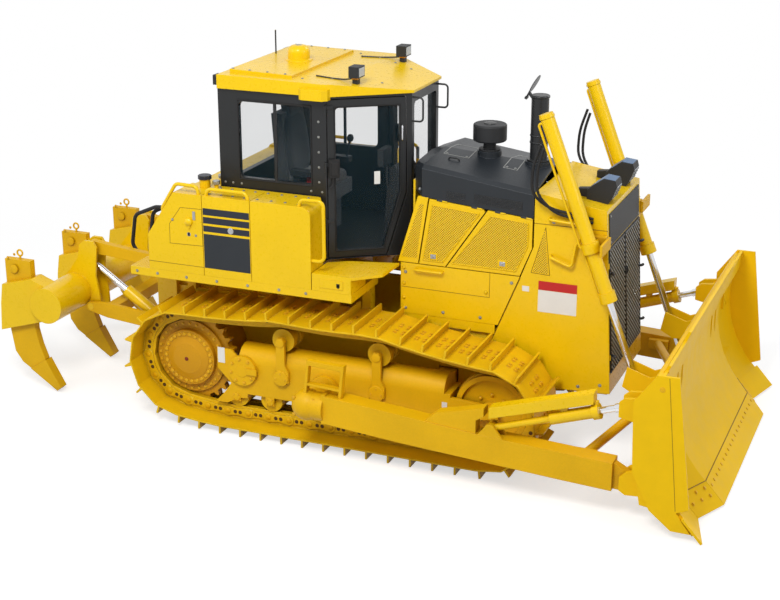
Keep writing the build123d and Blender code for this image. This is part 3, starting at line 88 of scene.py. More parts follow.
# ------ materials
def node_helpers(tree):
    """One tree's helpers: the first fills sockets, the second adds a node. A node means its first output."""

    def fill(target, inputs):
        for key, value in inputs.items():
            if isinstance(value, bpy.types.Node):
                value = value.outputs[0]
            if isinstance(value, bpy.types.NodeSocket):
                tree.links.new(value, target.inputs[key])
            else:
                target.inputs[key].default_value = value

    def node(kind, inputs=None, **settings):
        made = tree.nodes.new("ShaderNode" + kind)
        for key, value in settings.items():
            setattr(made, key, value)
        fill(made, inputs or {})
        return made

    return fill, node


def new_material(name):
    """An empty node material with its shader, its tree's helpers, and the place on the object."""
    material = bpy.data.materials.new(name)
    material.use_nodes = True
    material.node_tree.nodes.clear()
    fill, node = node_helpers(material.node_tree)
    shader = node("BsdfPrincipled")
    node("OutputMaterial", {"Surface": shader})
    return material, shader, fill, node, node("TexCoord").outputs["Object"]


def tinted(colour, factor):
    """A colour made lighter or darker, with its alpha."""
    return tuple(min(1.0, c * factor) for c in colour) + (1.0,)


def two_tone(node, factor, dark, light, start=0.0, end=1.0):
    """A colour that runs from dark to light while a factor runs from start to end."""
    ramp = node("ValToRGB", {"Fac": factor})
    for element, place, colour in zip(ramp.color_ramp.elements, (start, end), (dark, light)):
        element.position, element.color = place, colour
    return ramp


def ranged(node, value, start=0.0, end=1.0, low=0.0, high=1.0):
    """A value carried over from one range to another."""
    return node("MapRange", {"Value": value, "From Min": start, "From Max": end,
                             "To Min": low, "To Max": high})


def mixed(node, share, first, second, **settings):
    """Two colours mixed by a share."""
    return node("Mix", {"Factor": share, "A": first, "B": second}, data_type="RGBA", **settings).outputs[2]


def coat(name, colour, rough, grain=26.0, spread=0.12, corner_shade=0.35, bump=0.04, metal=0.0, clear=0.0, edge=0.007,
         edge_highlight=None, shade_tint=(0.10, 0.075, 0.03), shine=0.32):
    """Paint, plastic or cast metal: mottled, with painted shade darkening its corners, fine relief, soft
    edges and perhaps a patchy painted highlight along its edges.
    """
    material, shader, fill, node, place = new_material(name)
    broad = node("TexNoise", {"Vector": place, "Scale": 1.7, "Detail": 4.0, "Roughness": 0.6})
    fine = node("TexNoise", {"Vector": place, "Scale": grain, "Detail": 6.0, "Roughness": 0.7})
    mottle = two_tone(node, broad, tinted(colour, 1 - spread), tinted(colour, 1 + spread * 0.5), 0.3, 0.72)
    speck = two_tone(node, fine, tinted((1, 1, 1), 1 - spread), (1, 1, 1, 1), 0.38, 0.62)
    shade = mixed(node, 0.5, mottle, speck, blend_type="MULTIPLY")
    # Painted shade: corners and hollows found by ambient occlusion turn towards a darker tint.
    if corner_shade:
        corner = node("AmbientOcclusion", {"Distance": 0.22}, samples=4).outputs["AO"]
        shade = mixed(node, ranged(node, corner, 0.15, 0.75, corner_shade, 0.0), shade, (*shade_tint, 1.0))
    rounded = node("Bevel", {"Radius": edge}, samples=4)
    # Painted highlight: a lighter colour in patches along the rounded edges, where light would catch them.
    if edge_highlight:
        flat = node("NewGeometry").outputs["Normal"]
        bend = node("VectorMath", {0: rounded, 1: flat}, operation="DOT_PRODUCT").outputs["Value"]
        on_edge, highlight_patches = ranged(node, bend, 0.995, 0.9), ranged(node, fine, 0.45, 0.6)
        mask = node("Math", {0: on_edge, 1: highlight_patches}, operation="MULTIPLY")
        shade = mixed(node, mask, shade, (*edge_highlight, 1.0))
    gloss = ranged(node, fine, 0.3, 0.7, max(0.05, rough - 0.08), min(1.0, rough + 0.1))
    relief = node("Bump", {"Height": fine, "Strength": bump, "Distance": 0.01, "Normal": rounded})
    fill(shader, {"Base Color": shade, "Roughness": gloss,
                  "Normal": relief, "Metallic": metal, "Specular IOR Level": shine})
    if clear:
        fill(shader, {"Coat Weight": clear, "Coat Roughness": 0.12})
    return material


# In the coats below, the darkening of corners and the tint it turns to are painted shade; a lighter edge
# colour, where one is given, is a painted highlight.
YELLOW = (0.90, 0.585, 0.002)
yellow = coat("yellow_enamel", YELLOW, 0.30, spread=0.05, corner_shade=0.45, bump=0.02, clear=0.06,
              shade_tint=(0.30, 0.12, 0.002), shine=0.3)
blade_coat = coat("blade_enamel", (0.90, 0.555, 0.003), 0.46, grain=9, spread=0.05, corner_shade=0.25, bump=0.01,
                  edge=0.003, shade_tint=(0.30, 0.12, 0.002), shine=0.15)
track_yellow = coat("track_enamel", (0.84, 0.52, 0.003), 0.45, spread=0.10, corner_shade=0.68, bump=0.06,
                    edge_highlight=(0.95, 0.72, 0.08), shade_tint=(0.20, 0.075, 0.002), shine=0.25)
cast_yellow = coat("cast_yellow", (0.82, 0.47, 0.002), 0.46, grain=60, spread=0.10, corner_shade=0.65, bump=0.16,
                   shade_tint=(0.22, 0.08, 0.002), shine=0.25)
# Painted shade: the machine's yellow paint, made darker and more orange because the drives sit in shade.
shaded_drive_yellow = coat("shaded_drive_yellow", (0.66, 0.32, 0.002), 0.42, grain=60, spread=0.10, corner_shade=0.6, bump=0.12,
                    shade_tint=(0.20, 0.07, 0.002), shine=0.3)
lamp_blue = coat("lamp_top_blue", (0.06, 0.14, 0.28), 0.35, grain=90, spread=0.1, corner_shade=0.2, bump=0.02)
hood_grey = coat("hood_blue_grey", (0.012, 0.016, 0.021), 0.42, grain=90, spread=0.16, corner_shade=0.3, bump=0.03,
                 edge_highlight=(0.05, 0.065, 0.085), shade_tint=(0.008, 0.008, 0.008), shine=0.4)
cab_black = coat("cab_black", (0.013, 0.014, 0.015), 0.34, grain=70, spread=0.15, corner_shade=0.2, bump=0.02,
                 edge_highlight=(0.04, 0.043, 0.047), shade_tint=(0.006, 0.006, 0.006), shine=0.4)
plastic = coat("moulded_plastic", (0.014, 0.015, 0.017), 0.55, grain=220, spread=0.2, corner_shade=0.25, bump=0.12,
               edge_highlight=(0.05, 0.053, 0.058), shade_tint=(0.008, 0.008, 0.008), shine=0.4)
rubber = coat("hose_rubber", (0.016, 0.016, 0.017), 0.6, grain=160, spread=0.2, corner_shade=0.2, bump=0.1,
              shade_tint=(0.03, 0.028, 0.024))
chrome = coat("chrome_rod", (0.72, 0.73, 0.75), 0.14, grain=40, spread=0.05, corner_shade=0.2, bump=0.005, metal=1.0)
steel = coat("plated_steel", (0.42, 0.43, 0.44), 0.34, grain=90, spread=0.12, corner_shade=0.4, bump=0.04, metal=0.9)
iron = coat("cast_iron", (0.10, 0.10, 0.10), 0.62, grain=80, spread=0.2, corner_shade=0.4, bump=0.2)
core = coat("radiator_core", (0.05, 0.055, 0.06), 0.5, grain=180, spread=0.2, corner_shade=0.4, bump=0.3)
bolt_yellow = coat("bolt_yellow", (0.80, 0.44, 0.003), 0.4, grain=120, spread=0.1, corner_shade=0.5, bump=0.05,
                   edge_highlight=(0.95, 0.7, 0.12), shade_tint=(0.2, 0.08, 0.002), edge=0.002)
bolt_grey = coat("bolt_grey", (0.33, 0.34, 0.33), 0.4, grain=120, spread=0.15, corner_shade=0.4, bump=0.05, metal=0.5,
                 edge=0.002)
red_brown = coat("primer_red", (0.22, 0.03, 0.012), 0.5, spread=0.15, corner_shade=0.3, bump=0.05)
navy = coat("stripe_navy", (0.018, 0.022, 0.035), 0.38, spread=0.1, corner_shade=0.1, bump=0.02, edge=0.001)
label_white = coat("label_white", (0.80, 0.80, 0.78), 0.4, spread=0.04, corner_shade=0.12, bump=0.02, edge=0.001)
label_red = coat("label_red", (0.55, 0.02, 0.02), 0.4, spread=0.06, corner_shade=0.12, bump=0.02, edge=0.001)
amber = coat("amber_mark", (0.75, 0.30, 0.01), 0.35, spread=0.05, corner_shade=0.1, bump=0.02)

# Painted shade: a dark brown for hollows, which are dark only because light does not reach into them.
shade_brown = coat("painted_shade_in_hollows", (0.10, 0.045, 0.004), 0.6, spread=0.2, corner_shade=0.5, bump=0.1)
seam_dark = coat("seam_shadow", (0.30, 0.16, 0.002), 0.6, spread=0.1, corner_shade=0.4, bump=0.02, edge=0.001)
# Painted shade: black for openings, which are dark only because light does not reach inside.
slot_shade_black = coat("painted_shade_in_slots", (0.008, 0.008, 0.008), 0.5, spread=0.1, corner_shade=0.1, bump=0.02)
# Painted highlight: a light grey that stands for the light on the slats' fronts. The hood's hatch seams are
# drawn in it too.
slat_highlight_grey = coat("grille_slat", (0.30, 0.305, 0.29), 0.38, grain=120, spread=0.2, corner_shade=0.2, bump=0.04,
                 edge=0.002)


def glass_material(name, tint, rough, alpha):
    """Tinted pane: mostly clear, with streaks that show in its gloss."""
    material, shader, fill, node, place = new_material(name)
    smear = node("TexNoise", {"Vector": place, "Scale": 5.0, "Detail": 3.0})
    gloss = ranged(node, smear, low=rough, high=rough + 0.06)
    fill(shader, {"Base Color": two_tone(node, smear, tinted(tint, 0.9), tinted(tint, 1.05)),
                  "Roughness": gloss, "Alpha": alpha, "Specular IOR Level": 0.25})
    return material


cab_pane = glass_material("cab_pane", (0.03, 0.08, 0.11), 0.02, 0.08)
lens = glass_material("lamp_lens", (0.75, 0.80, 0.84), 0.08, 0.75)


def woven_material(name, colour):
    """Seat cloth: two crossed sets of threads, with fuzz."""
    material, shader, fill, node, place = new_material(name)
    heights = []
    for turn in (0.6, -0.9):
        turned = node("Mapping", {"Vector": place, "Rotation": (turn, 0.4, turn)})
        threads = node("TexWave", {"Vector": turned, "Scale": 240.0, "Distortion": 1.2}, wave_type="BANDS")
        heights.append(threads.outputs["Fac"])
    weave = node("Math", {0: heights[0], 1: heights[1]}, operation="MAXIMUM")
    relief = node("Bump", {"Height": weave, "Strength": 0.4, "Distance": 0.002})
    fill(shader, {"Base Color": two_tone(node, weave, tinted(colour, 0.5), tinted(colour, 1.3)),
                  "Normal": relief, "Roughness": 0.85, "Sheen Weight": 0.4})
    return material


seat_cloth = woven_material("seat_cloth", (0.03, 0.032, 0.036))


def mesh_yellow(name, colour, pitch, hole):
    """Perforated yellow sheet: staggered dark holes, each sunk in the relief."""
    material, shader, fill, node, place = new_material(name)
    flat = node("Mapping", {"Vector": place, "Scale": (1 / pitch,) * 3, "Rotation": (0, 0.785, 0)})
    parts = node("SeparateXYZ", {"Vector": flat})

    def reckon(operation, first, second):
        return node("Math", {0: first, 1: second}, operation=operation)

    squares = []
    for axis in ("X", "Z"):
        wrapped = reckon("FLOORED_MODULO", parts.outputs[axis], 1.0)
        squares.append(reckon("POWER", reckon("SUBTRACT", wrapped, 0.5), 2.0))
    away = reckon("POWER", reckon("ADD", *squares), 0.5)
    sheet = ranged(node, away, hole - 0.05, hole + 0.05)
    noise = node("TexNoise", {"Vector": place, "Scale": 3.0, "Detail": 3.0})
    paint = two_tone(node, noise, tinted(colour, 0.9), tinted(colour, 1.05))
    relief = node("Bump", {"Height": sheet, "Strength": 0.5, "Distance": 0.004})
    gloss = ranged(node, noise, low=0.36, high=0.5)
    # The holes are painted dark brown: painted shade for the dark seen through each hole.
    fill(shader, {"Base Color": mixed(node, sheet, (0.10, 0.045, 0.002, 1), paint),
                  "Normal": relief, "Roughness": gloss})
    return material


perforated = mesh_yellow("perforated_yellow", YELLOW, 0.016, 0.30)

NODE_MATERIALS = {
    track_yellow: ["track_left", "track_right", "track_rollers", "carrier_rollers"],
    cast_yellow: ["idlers", "track_frames", "equalizer_bar", "ripper_shanks", "push_arms", "ripper_arms",
                  "ripper_links", "lift_yokes"],
    hood_grey: ["hood"],
    plastic: ["console", "precleaner", "head_lamps", "work_lamps", "nose_panel"],
    blade_coat: ["blade", "cutting_edges"],
    shaded_drive_yellow: ["sprockets", "final_drives"],
    cab_black: ["cab_frame", "cab_door_right", "cab_door_left", "exhaust_stack", "rain_cap",
                "grille_door_left", "grille_door_right"],
    cab_pane: ["cab_glass", "door_glass_left", "door_glass_right"],
    chrome: ["lift_rods", "tilt_rods", "ripper_rods"],
    iron: ["engine"],
    core: ["radiator"],
    rubber: ["hoses"],
    seat_cloth: ["seat"],
}
chosen = {node: material for material, nodes in NODE_MATERIALS.items() for node in nodes}
for name, node_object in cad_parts.items():
    for material_slot in node_object.material_slots:
        material_slot.material = chosen.get(name, yellow)


# ------ mesh shapes
def circle(centre, side, other, radius, count):
    """Places round a centre, spanned by two directions at right angles. The radius is in millimetres."""
    turns = [2 * math.pi * i / count for i in range(count)]
    return [centre + (side * math.cos(a) + other * math.sin(a)) * radius / 1000 for a in turns]


class Shape:
    """Gathers simple solids into one mesh. Places are drawing millimetres, but a loft's are frame metres."""

    def __init__(self):
        self.bm = bmesh.new()

    def loft(self, rings):
        """Skin between rings of equal length, capped at both ends."""
        made = [[self.bm.verts.new(p) for p in ring] for ring in rings]
        count = len(made[0])
        for lower, upper in zip(made, made[1:]):
            for i in range(count):
                self.bm.faces.new((lower[i], lower[(i + 1) % count], upper[(i + 1) % count], upper[i]))
        self.bm.faces.new(tuple(reversed(made[0])))
        self.bm.faces.new(tuple(made[-1]))
        return self

    def prism(self, outline, start, end):
        """An outline of (x, z), pushed along y from start to end."""
        return self.loft([[at(x, y, z) for x, z in outline] for y in (start, end)])

    def box(self, xs, ys, zs):
        """A block between two places along each axis."""
        return self.loft([[at(x, y, z) for x, y in rect(*xs, *ys)] for z in zs])

    def turned(self, centre, direction, profile, sides=24):
        """A solid of revolution: its profile is (distance along the direction, radius)."""
        direction = Vector(direction).normalized()
        side = direction.orthogonal().normalized()
        other = direction.cross(side)
        centre = at(*centre)
        return self.loft([circle(centre + direction * along / 1000, side, other, max(radius, 0.2), sides)
                          for along, radius in profile])

    def bolt(self, centre, direction, radius=14, height=11, washer=1.45):
        """A hexagon head on its washer."""
        self.turned(centre, direction, [(0, radius * washer), (height * 0.22, radius * washer)], 12)
        return self.turned(centre, direction, [(height * 0.22, radius), (height * 0.85, radius),
                                               (height, radius * 0.8)], 6)

    def tube(self, points, radius, sides=8, bend=None):
        """A bar or hose through some points, its corners rounded off in a few steps."""
        path = [at(*p) for p in points]
        if bend:
            rounded = [path[0]]
            for before, corner, after in zip(path, path[1:], path[2:]):
                back, forth = before - corner, after - corner
                reach = min(bend / 1000, back.length * 0.45, forth.length * 0.45)
                a, b = corner + back.normalized() * reach, corner + forth.normalized() * reach
                rounded += [a.lerp(corner, t).lerp(corner.lerp(b, t), t) for t in (0, 0.25, 0.5, 0.75, 1)]
            path = rounded + [path[-1]]
        rings, side = [], None
        for i, point in enumerate(path):
            heading = (path[min(i + 1, len(path) - 1)] - path[max(i - 1, 0)]).normalized()
            side = (side - heading * side.dot(heading) if side else heading.orthogonal()).normalized()
            rings.append(circle(point, side, heading.cross(side), radius, sides))
        return self.loft(rings)

    def make(self, name, material, body, slot=None, mirrored=False, smooth=32):
        """The finished piece on its body; mirrored adds the same on the other side of the object."""
        bmesh.ops.recalc_face_normals(self.bm, faces=self.bm.faces)
        if mirrored:
            geometry = self.bm.verts[:] + self.bm.edges[:] + self.bm.faces[:]
            copy = bmesh.ops.duplicate(self.bm, geom=geometry)["geom"]
            for vert in (g for g in copy if isinstance(g, bmesh.types.BMVert)):
                vert.co.y = -vert.co.y
            bmesh.ops.reverse_faces(self.bm, faces=[g for g in copy if isinstance(g, bmesh.types.BMFace)])
        mesh = bpy.data.meshes.new(name)
        self.bm.to_mesh(mesh)
        self.bm.free()
        mesh.polygons.foreach_set("use_smooth", [True] * len(mesh.polygons))
        mesh.set_sharp_from_angle(angle=math.radians(smooth))
        mesh.materials.append(material)
        piece = bpy.data.objects.new(name, mesh)
        bpy.context.scene.collection.objects.link(piece)
        if body:
            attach(piece, body)
        return piece

    def pair(self, name, material, slot=None):
        """The finished piece on the chassis, with the same on the other side of the object."""
        return self.make(name, material, "chassis", slot, mirrored=True)


def shapes(count):
    """Some empty shapes."""
    return (Shape() for _ in range(count))


# ------ floor, lamps and camera
def backdrop_material():
    """Pale floor: plain for the light it sends back, white where it is looked at, with the shadow kept."""
    material, shader, fill, node, place = new_material("studio_floor")
    grain = node("TexNoise", {"Vector": place, "Scale": 0.8, "Detail": 3.0})
    fill(shader, {"Base Color": two_tone(node, grain, (0.50, 0.50, 0.50, 1), (0.53, 0.53, 0.53, 1)),
                  "Roughness": 0.9, "Specular IOR Level": 0.0})
    rays = node("LightPath").outputs
    direct = node("Math", {0: rays["Is Camera Ray"], 1: rays["Is Glossy Ray"]}, operation="MAXIMUM")
    looked_at = node("Math", {0: direct, 1: rays["Is Transmission Ray"]}, operation="MAXIMUM")
    away = node("VectorMath", {0: place}, operation="LENGTH").outputs["Value"]
    far = node("MapRange", {"Value": away, "From Min": 3.5, "From Max": 9.0}, interpolation_type="SMOOTHSTEP")
    glow = node("Emission", {"Color": (1, 1, 1, 1), "Strength": 0.62})
    white = node("Emission", {"Color": (1, 1, 1, 1), "Strength": 1.0})
    lit = node("AddShader", {0: shader, 1: glow})
    seen = node("MixShader", {0: far, 1: lit, 2: white})
    both = node("MixShader", {0: looked_at, 1: shader, 2: seen})
    output = next(n for n in material.node_tree.nodes if n.type == "OUTPUT_MATERIAL")
    fill(output, {"Surface": both})
    return material


def build_studio():
    """The floor, the white surroundings, the lamps and the camera."""
    floor_mesh = bpy.data.meshes.new("floor")
    grid = bmesh.new()
    bmesh.ops.create_grid(grid, x_segments=8, y_segments=8, size=60)
    grid.to_mesh(floor_mesh)
    grid.free()
    floor = bpy.data.objects.new("floor", floor_mesh)
    floor_mesh.materials.append(backdrop_material())
    bpy.context.scene.collection.objects.link(floor)

    world = bpy.data.worlds.new("studio")
    bpy.context.scene.world = world
    world.use_nodes = True
    world.node_tree.nodes.clear()
    node = node_helpers(world.node_tree)[1]
    soft = node("Background", {"Color": (0.95, 0.97, 1.0, 1), "Strength": 0.42})
    white = node("Background", {"Color": (1, 1, 1, 1), "Strength": 1.0})
    rays = node("LightPath").outputs
    direct = node("Math", {0: rays["Is Camera Ray"], 1: rays["Is Transmission Ray"]}, operation="MAXIMUM")
    seen = node("Math", {0: direct, 1: rays["Is Glossy Ray"]}, operation="MAXIMUM")
    mix = node("MixShader", {0: seen, 1: soft, 2: white})
    node("OutputWorld", {"Surface": mix})

    middle = (cad_low + cad_high) / 2
    lamps = [("key", (1.0, -9.0, 8.5), 3.5, 950, (1.0, 0.985, 0.96)),
             ("fill", (-8.0, -6.0, 5.0), 5.0, 200, (0.96, 0.98, 1.0)),
             ("rim", (5.0, 8.0, 7.0), 4.0, 260, (1.0, 1.0, 1.0)),
             ("front", (9.5, -2.0, 4.0), 4.0, 190, (1, 1, 1))]
    for name, place, size, power, colour in lamps:
        data = bpy.data.lights.new(name, "AREA")
        data.size, data.energy, data.color = size, power, colour
        lamp = bpy.data.objects.new(name, data)
        lamp.location = middle + Vector(place)
        lamp.rotation_euler = (middle - lamp.location).to_track_quat("-Z", "Y").to_euler()
        bpy.context.scene.collection.objects.link(lamp)

    data = bpy.data.cameras.new("camera")
    data.lens, data.sensor_width = 70.18, 36.0
    camera = bpy.data.objects.new("camera", data)
    camera.location = at(6894.3, -12956.8, 6022.7)
    camera.rotation_euler = (math.radians(90 - 19.49), 0, math.radians(22.11))
    bpy.context.scene.collection.objects.link(camera)
    bpy.context.scene.camera = camera
    bpy.context.scene.view_settings.view_transform = "Standard"


build_studio()

# ------ undercarriage details
# The chain's driving dimensions, in millimetres. A place in its plane is a complex number, x + z j.
LINK_PITCH, SPROCKET_TEETH, CHAIN_PHASE, SAG = 216.0, 26, 76.0, 0.02
PIN_LINE_Z, IDLER_X, IDLER_PIN_R = 149.0, 3045.0, 417.0
SPROCKET_PIN_R = LINK_PITCH / 2 / math.sin(2 * math.pi / SPROCKET_TEETH)
SPROCKET_RAISE = 38.0
SPROCKET_Z = PIN_LINE_Z + SPROCKET_PIN_R + SPROCKET_RAISE
TAIL_SLOPE, HEAD_SLOPE = math.radians(6.2), math.radians(8.5)
CARRIERS_X, CARRIER_PIN_Z, ARC_STEPS = (1010, 1975), 1148.0, 400
ROLLERS_X = [round(520 + i * 2120 / 6, 1) for i in range(7)]
TRACK_Y, RAIL_FACE, SHOE_TOP = 1000, 1100, 77
AXLE_Z, ROLLER_Z, PIVOT_X, PIVOT_Z = round(SPROCKET_Z), 327, 605, 614


def arc(start, middle, end):
    """Places along the arc through three places."""
    ratio = (end - start) / (middle - start)
    centre = start + (middle - start) * (ratio - abs(ratio) ** 2) / (2j * ratio.imag)
    passed, sweep = (cmath.phase((p - centre) / (start - centre)) % (2 * math.pi) for p in (middle, end))
    if passed > sweep:
        sweep -= 2 * math.pi
    return [centre + (start - centre) * cmath.rect(1, sweep * i / ARC_STEPS) for i in range(ARC_STEPS + 1)]


def chain_pins():
    """Link pins round the chain, (x, z) in whole millimetres, in order from the flat run forward."""
    rear_low = 1j * SPROCKET_Z - SPROCKET_PIN_R * complex(math.sin(TAIL_SLOPE), math.cos(TAIL_SLOPE))
    flat_start = complex(rear_low.real + (rear_low.imag - PIN_LINE_Z) / math.tan(TAIL_SLOPE), PIN_LINE_Z)
    idler = complex(IDLER_X, PIN_LINE_Z + IDLER_PIN_R)
    idler_top = idler + IDLER_PIN_R * complex(math.sin(HEAD_SLOPE), math.cos(HEAD_SLOPE))
    sprocket_top = complex(0, SPROCKET_Z + SPROCKET_PIN_R)
    line = [flat_start, *arc(idler - 1j * IDLER_PIN_R, idler + IDLER_PIN_R, idler_top)]
    tops = [idler_top, *(complex(x, CARRIER_PIN_Z) for x in reversed(CARRIERS_X)), sprocket_top]
    for start, end in zip(tops, tops[1:]):
        line += arc(start, (start + end) / 2 - 1j * SAG * abs(end - start), end)[1:]
    line += [*arc(sprocket_top, complex(-SPROCKET_PIN_R, SPROCKET_Z), rear_low)[1:], flat_start]
    runs = [(a, b - a) for a, b in zip(line, line[1:])]
    total = sum(abs(run) for _, run in runs)
    count = round(total / LINK_PITCH)
    pins = []
    for i in range(count):
        left = (CHAIN_PHASE + i * total / count) % total
        for start, run in runs:
            if left <= abs(run):
                break
            left -= abs(run)
        pin = start + run * left / abs(run)
        pins.append((round(pin.real), round(pin.imag)))
    return pins


def link_outline(start, end, radius=50, waist=34):
    """Side outline of a chain link: round ends about its two pins and a narrower middle."""
    way = Vector((end[0] - start[0], 0, end[1] - start[1])).normalized()
    up = Vector((-way.z, 0, way.x))
    a, b = Vector((start[0], 0, start[1])), Vector((end[0], 0, end[1]))
    points = []
    for centre, first in ((b, -90), (a, 90)):
        for step in range(0, 181, 30):
            turn = math.radians(first + step)
            points.append(centre + way * math.cos(turn) * radius + up * math.sin(turn) * radius)
        side = up if centre is b else -up
        points.append(a.lerp(b, 0.62 if centre is b else 0.38) + side * waist)
        points.append(a.lerp(b, 0.38 if centre is b else 0.62) + side * waist)
    return [(p.x, p.z) for p in points]


def build_track_details():
    """Link faces, pin ends, dark discs of painted shade where the bolt recesses are, and shoe bolts round
    both tracks.
    """
    links, ends, holes, bolts = shapes(4)
    pins = chain_pins()
    for i, pin in enumerate(pins):
        after = pins[(i + 1) % len(pins)]
        way = Vector((after[0] - pin[0], 0, after[1] - pin[1])).normalized()
        out = Vector((way.z, 0, -way.x))
        here = Vector((pin[0], 0, pin[1]))
        tall = 6 if i % 2 else 11
        if i == len(pins) - 1:
            tall = 8  # between its two neighbours, so no faces lie in one plane
        links.prism(link_outline(pin, after), -RAIL_FACE, -RAIL_FACE - tall)
        ends.turned((pin[0], -RAIL_FACE - 2, pin[1]), RIGHT, [(0, 27), (12, 27), (15, 22)], 14)
        # Dark discs of painted shade stand for the recesses in each link.
        for forward in (80, 132):
            spot = here + way * forward
            holes.turned((spot.x, -RAIL_FACE - 3, spot.z), RIGHT, [(0, 19), (tall - 2, 19)], 12)
        for forward in (88, 160):
            for y in (-98, -48, 48, 98):
                spot = here + way * forward + out * SHOE_TOP
                bolts.bolt((spot.x, y - TRACK_Y, spot.z), out, 15, 13)
    links.pair("chain_links", track_yellow, "track_paint")
    ends.pair("chain_pin_ends", cast_yellow, "track_paint")
    holes.pair("chain_link_hole_shading", shade_brown, "track_paint")
    bolts.pair("shoe_bolts", bolt_yellow, "track_paint")


def ring_of_bolts(shape, centre, ring, count, radius, height, phase=0.0):
    """Bolts evenly round a centre, on a right face."""
    x, y, z = centre
    for i in range(count):
        turn = phase + 2 * math.pi * i / count
        shape.bolt((x + ring * math.cos(turn), y, z + ring * math.sin(turn)), RIGHT, radius, height)


def build_wheel_details():
    """Covers, caps and bolts of the final drives, track frames, rollers and idlers."""
    bolts, rims, caps, keys, labels = shapes(5)
    ring_of_bolts(bolts, (0, -1064, AXLE_Z), 330, 28, 14, 14)
    ring_of_bolts(bolts, (0, -1112, AXLE_Z), 240, 26, 17, 16)
    rims.turned((0, -1110, AXLE_Z), RIGHT, [(0, 276), (7, 274), (7, 262), (0, 260)], 48)
    dome = [(0, 216), (8, 214), (10, 200), (30, 160), (38, 120), (44, 40), (46, 0)]
    rims.turned((0, -1112, AXLE_Z), RIGHT, dome, 48)
    caps.turned((0, -1157, AXLE_Z), RIGHT, [(0, 20), (5, 18), (7, 0)], 16)
    rims.pair("drive_covers", shaded_drive_yellow, "track_paint")
    caps.pair("drive_plugs", red_brown)

    # frame pivot cover with its key, roller end caps, carrier roller caps, idler face
    ring_of_bolts(bolts, (PIVOT_X, -1186, PIVOT_Z), 118, 8, 13, 12, phase=0.2)
    keys.prism(rect(660, 765, 590, 650), -1184, -1202)
    keys.turned((PIVOT_X, -1184, PIVOT_Z), RIGHT, [(0, 62), (6, 60), (8, 30), (8, 0)], 32)
    for x in ROLLERS_X:
        keys.turned((x, -1148, ROLLER_Z), RIGHT, [(0, 42), (8, 40), (12, 26), (12, 0)], 20)
        for angle in (0.8, 2.36, 3.93, 5.5):
            bolts.bolt((x + 31 * math.cos(angle), -1156, ROLLER_Z + 31 * math.sin(angle)), RIGHT, 7, 8)
    for x in CARRIERS_X:
        keys.turned((x, -1181, 954), RIGHT, [(0, 44), (10, 42), (14, 20), (14, 0)], 24)
        keys.turned((x, -1181, 600), RIGHT, [(0, 78), (9, 74), (13, 50), (14, 0)], 28)
        for dx, dz in ((-50, -6), (50, -6), (0, 48)):
            bolts.bolt((x + dx, -1188, 600 + dz), RIGHT, 10, 10)
    ring_of_bolts(bolts, (IDLER_X, -1075, PIN_LINE_Z + IDLER_PIN_R), 150, 8, 12, 10)
    keys.pair("roller_frame_covers", cast_yellow, "track_paint")
    bolts.pair("undercarriage_bolts", bolt_yellow, "track_paint")
    for outline in (rect(338, 412, 655, 810), rect(2600, 2650, 500, 610)):
        labels.prism(outline, -FRAME_Y, -FRAME_Y - 1.6)
    labels.pair("blank_frame_plates", label_white)


# ------ covers
def strip(shape, points, width, y_face, proud, closed=True):
    """A thin flat band along an outline on a side face, for seams and trims."""
    for (x0, z0), (x1, z1) in around(points) if closed else zip(points, points[1:]):
        length = math.hypot(x1 - x0, z1 - z0)
        nx, nz = -(z1 - z0) / length * width / 2, (x1 - x0) / length * width / 2
        shape.prism([(x0 + nx, z0 + nz), (x1 + nx, z1 + nz), (x1 - nx, z1 - nz), (x0 - nx, z0 - nz)],
                    y_face, y_face - proud)


def build_cabinet_details():
    """Stripes, blank panels, seams, knobs and bolts of the cabinets beside the cab."""
    face = -CABINET_Y
    stripes, plate, seams, bolts, grey, knob = shapes(6)
    for low, high in ((2110, 2174), (2030, 2090), (1952, 2008)):
        stripes.prism(rect(262, 736, low, high), face, face - 1.6)
    stripes.pair("cabinet_stripes", navy)
    plate.prism(rect(262, 736, 1600, 1928), face, face - 1.6)
    plate.pair("blank_cabinet_panels", hood_grey)
    strip(seams, [(28, 2154), (250, 2159), (250, 1806), (-97, 1797), (-94, 1986)], 5, face, 0.8)
    strip(seams, [(-331, 1600), (253, 1600)], 5, face, 0.8, closed=False)
    seams.pair("cabinet_door_seams", seam_dark)
    knob.turned((113, face, 2028), RIGHT, [(0, 40), (8, 38), (22, 34), (34, 20), (38, 0)], 24)
    knob.prism([(82, 2020), (144, 2020), (118, 1958), (108, 1958)], face, face - 12)
    knob.pair("cabinet_knobs", yellow, "yellow_paint")
    grey.prism(rect(155, 182, 2050, 2130), face, face - 6)
    grey.turned((545, face, 1985), RIGHT, [(0, 30), (6, 30), (8, 24), (5, 16), (5, 0)], 20)
    for x, z in ((180, 1900), (-60, 2030)):
        bolts.bolt((x, face, z), RIGHT, 9, 8)
    grey.turned((107, face, 1905), RIGHT, [(0, 20), (1.5, 20)], 16)
    for x in (300, 420, 540, 660, 790, 930, 1070, 1200):
        for y in (-1120, -900):
            bolts.bolt((x, y, 2290), UP, 10, 9)
    for x in (-470, -250, 60, 380, 700, 1020, 1290):
        bolts.bolt((x, face, 1480), RIGHT, 10, 9)
    grey.pair("cabinet_fittings", steel)
    bolts.pair("cabinet_bolts", bolt_grey)


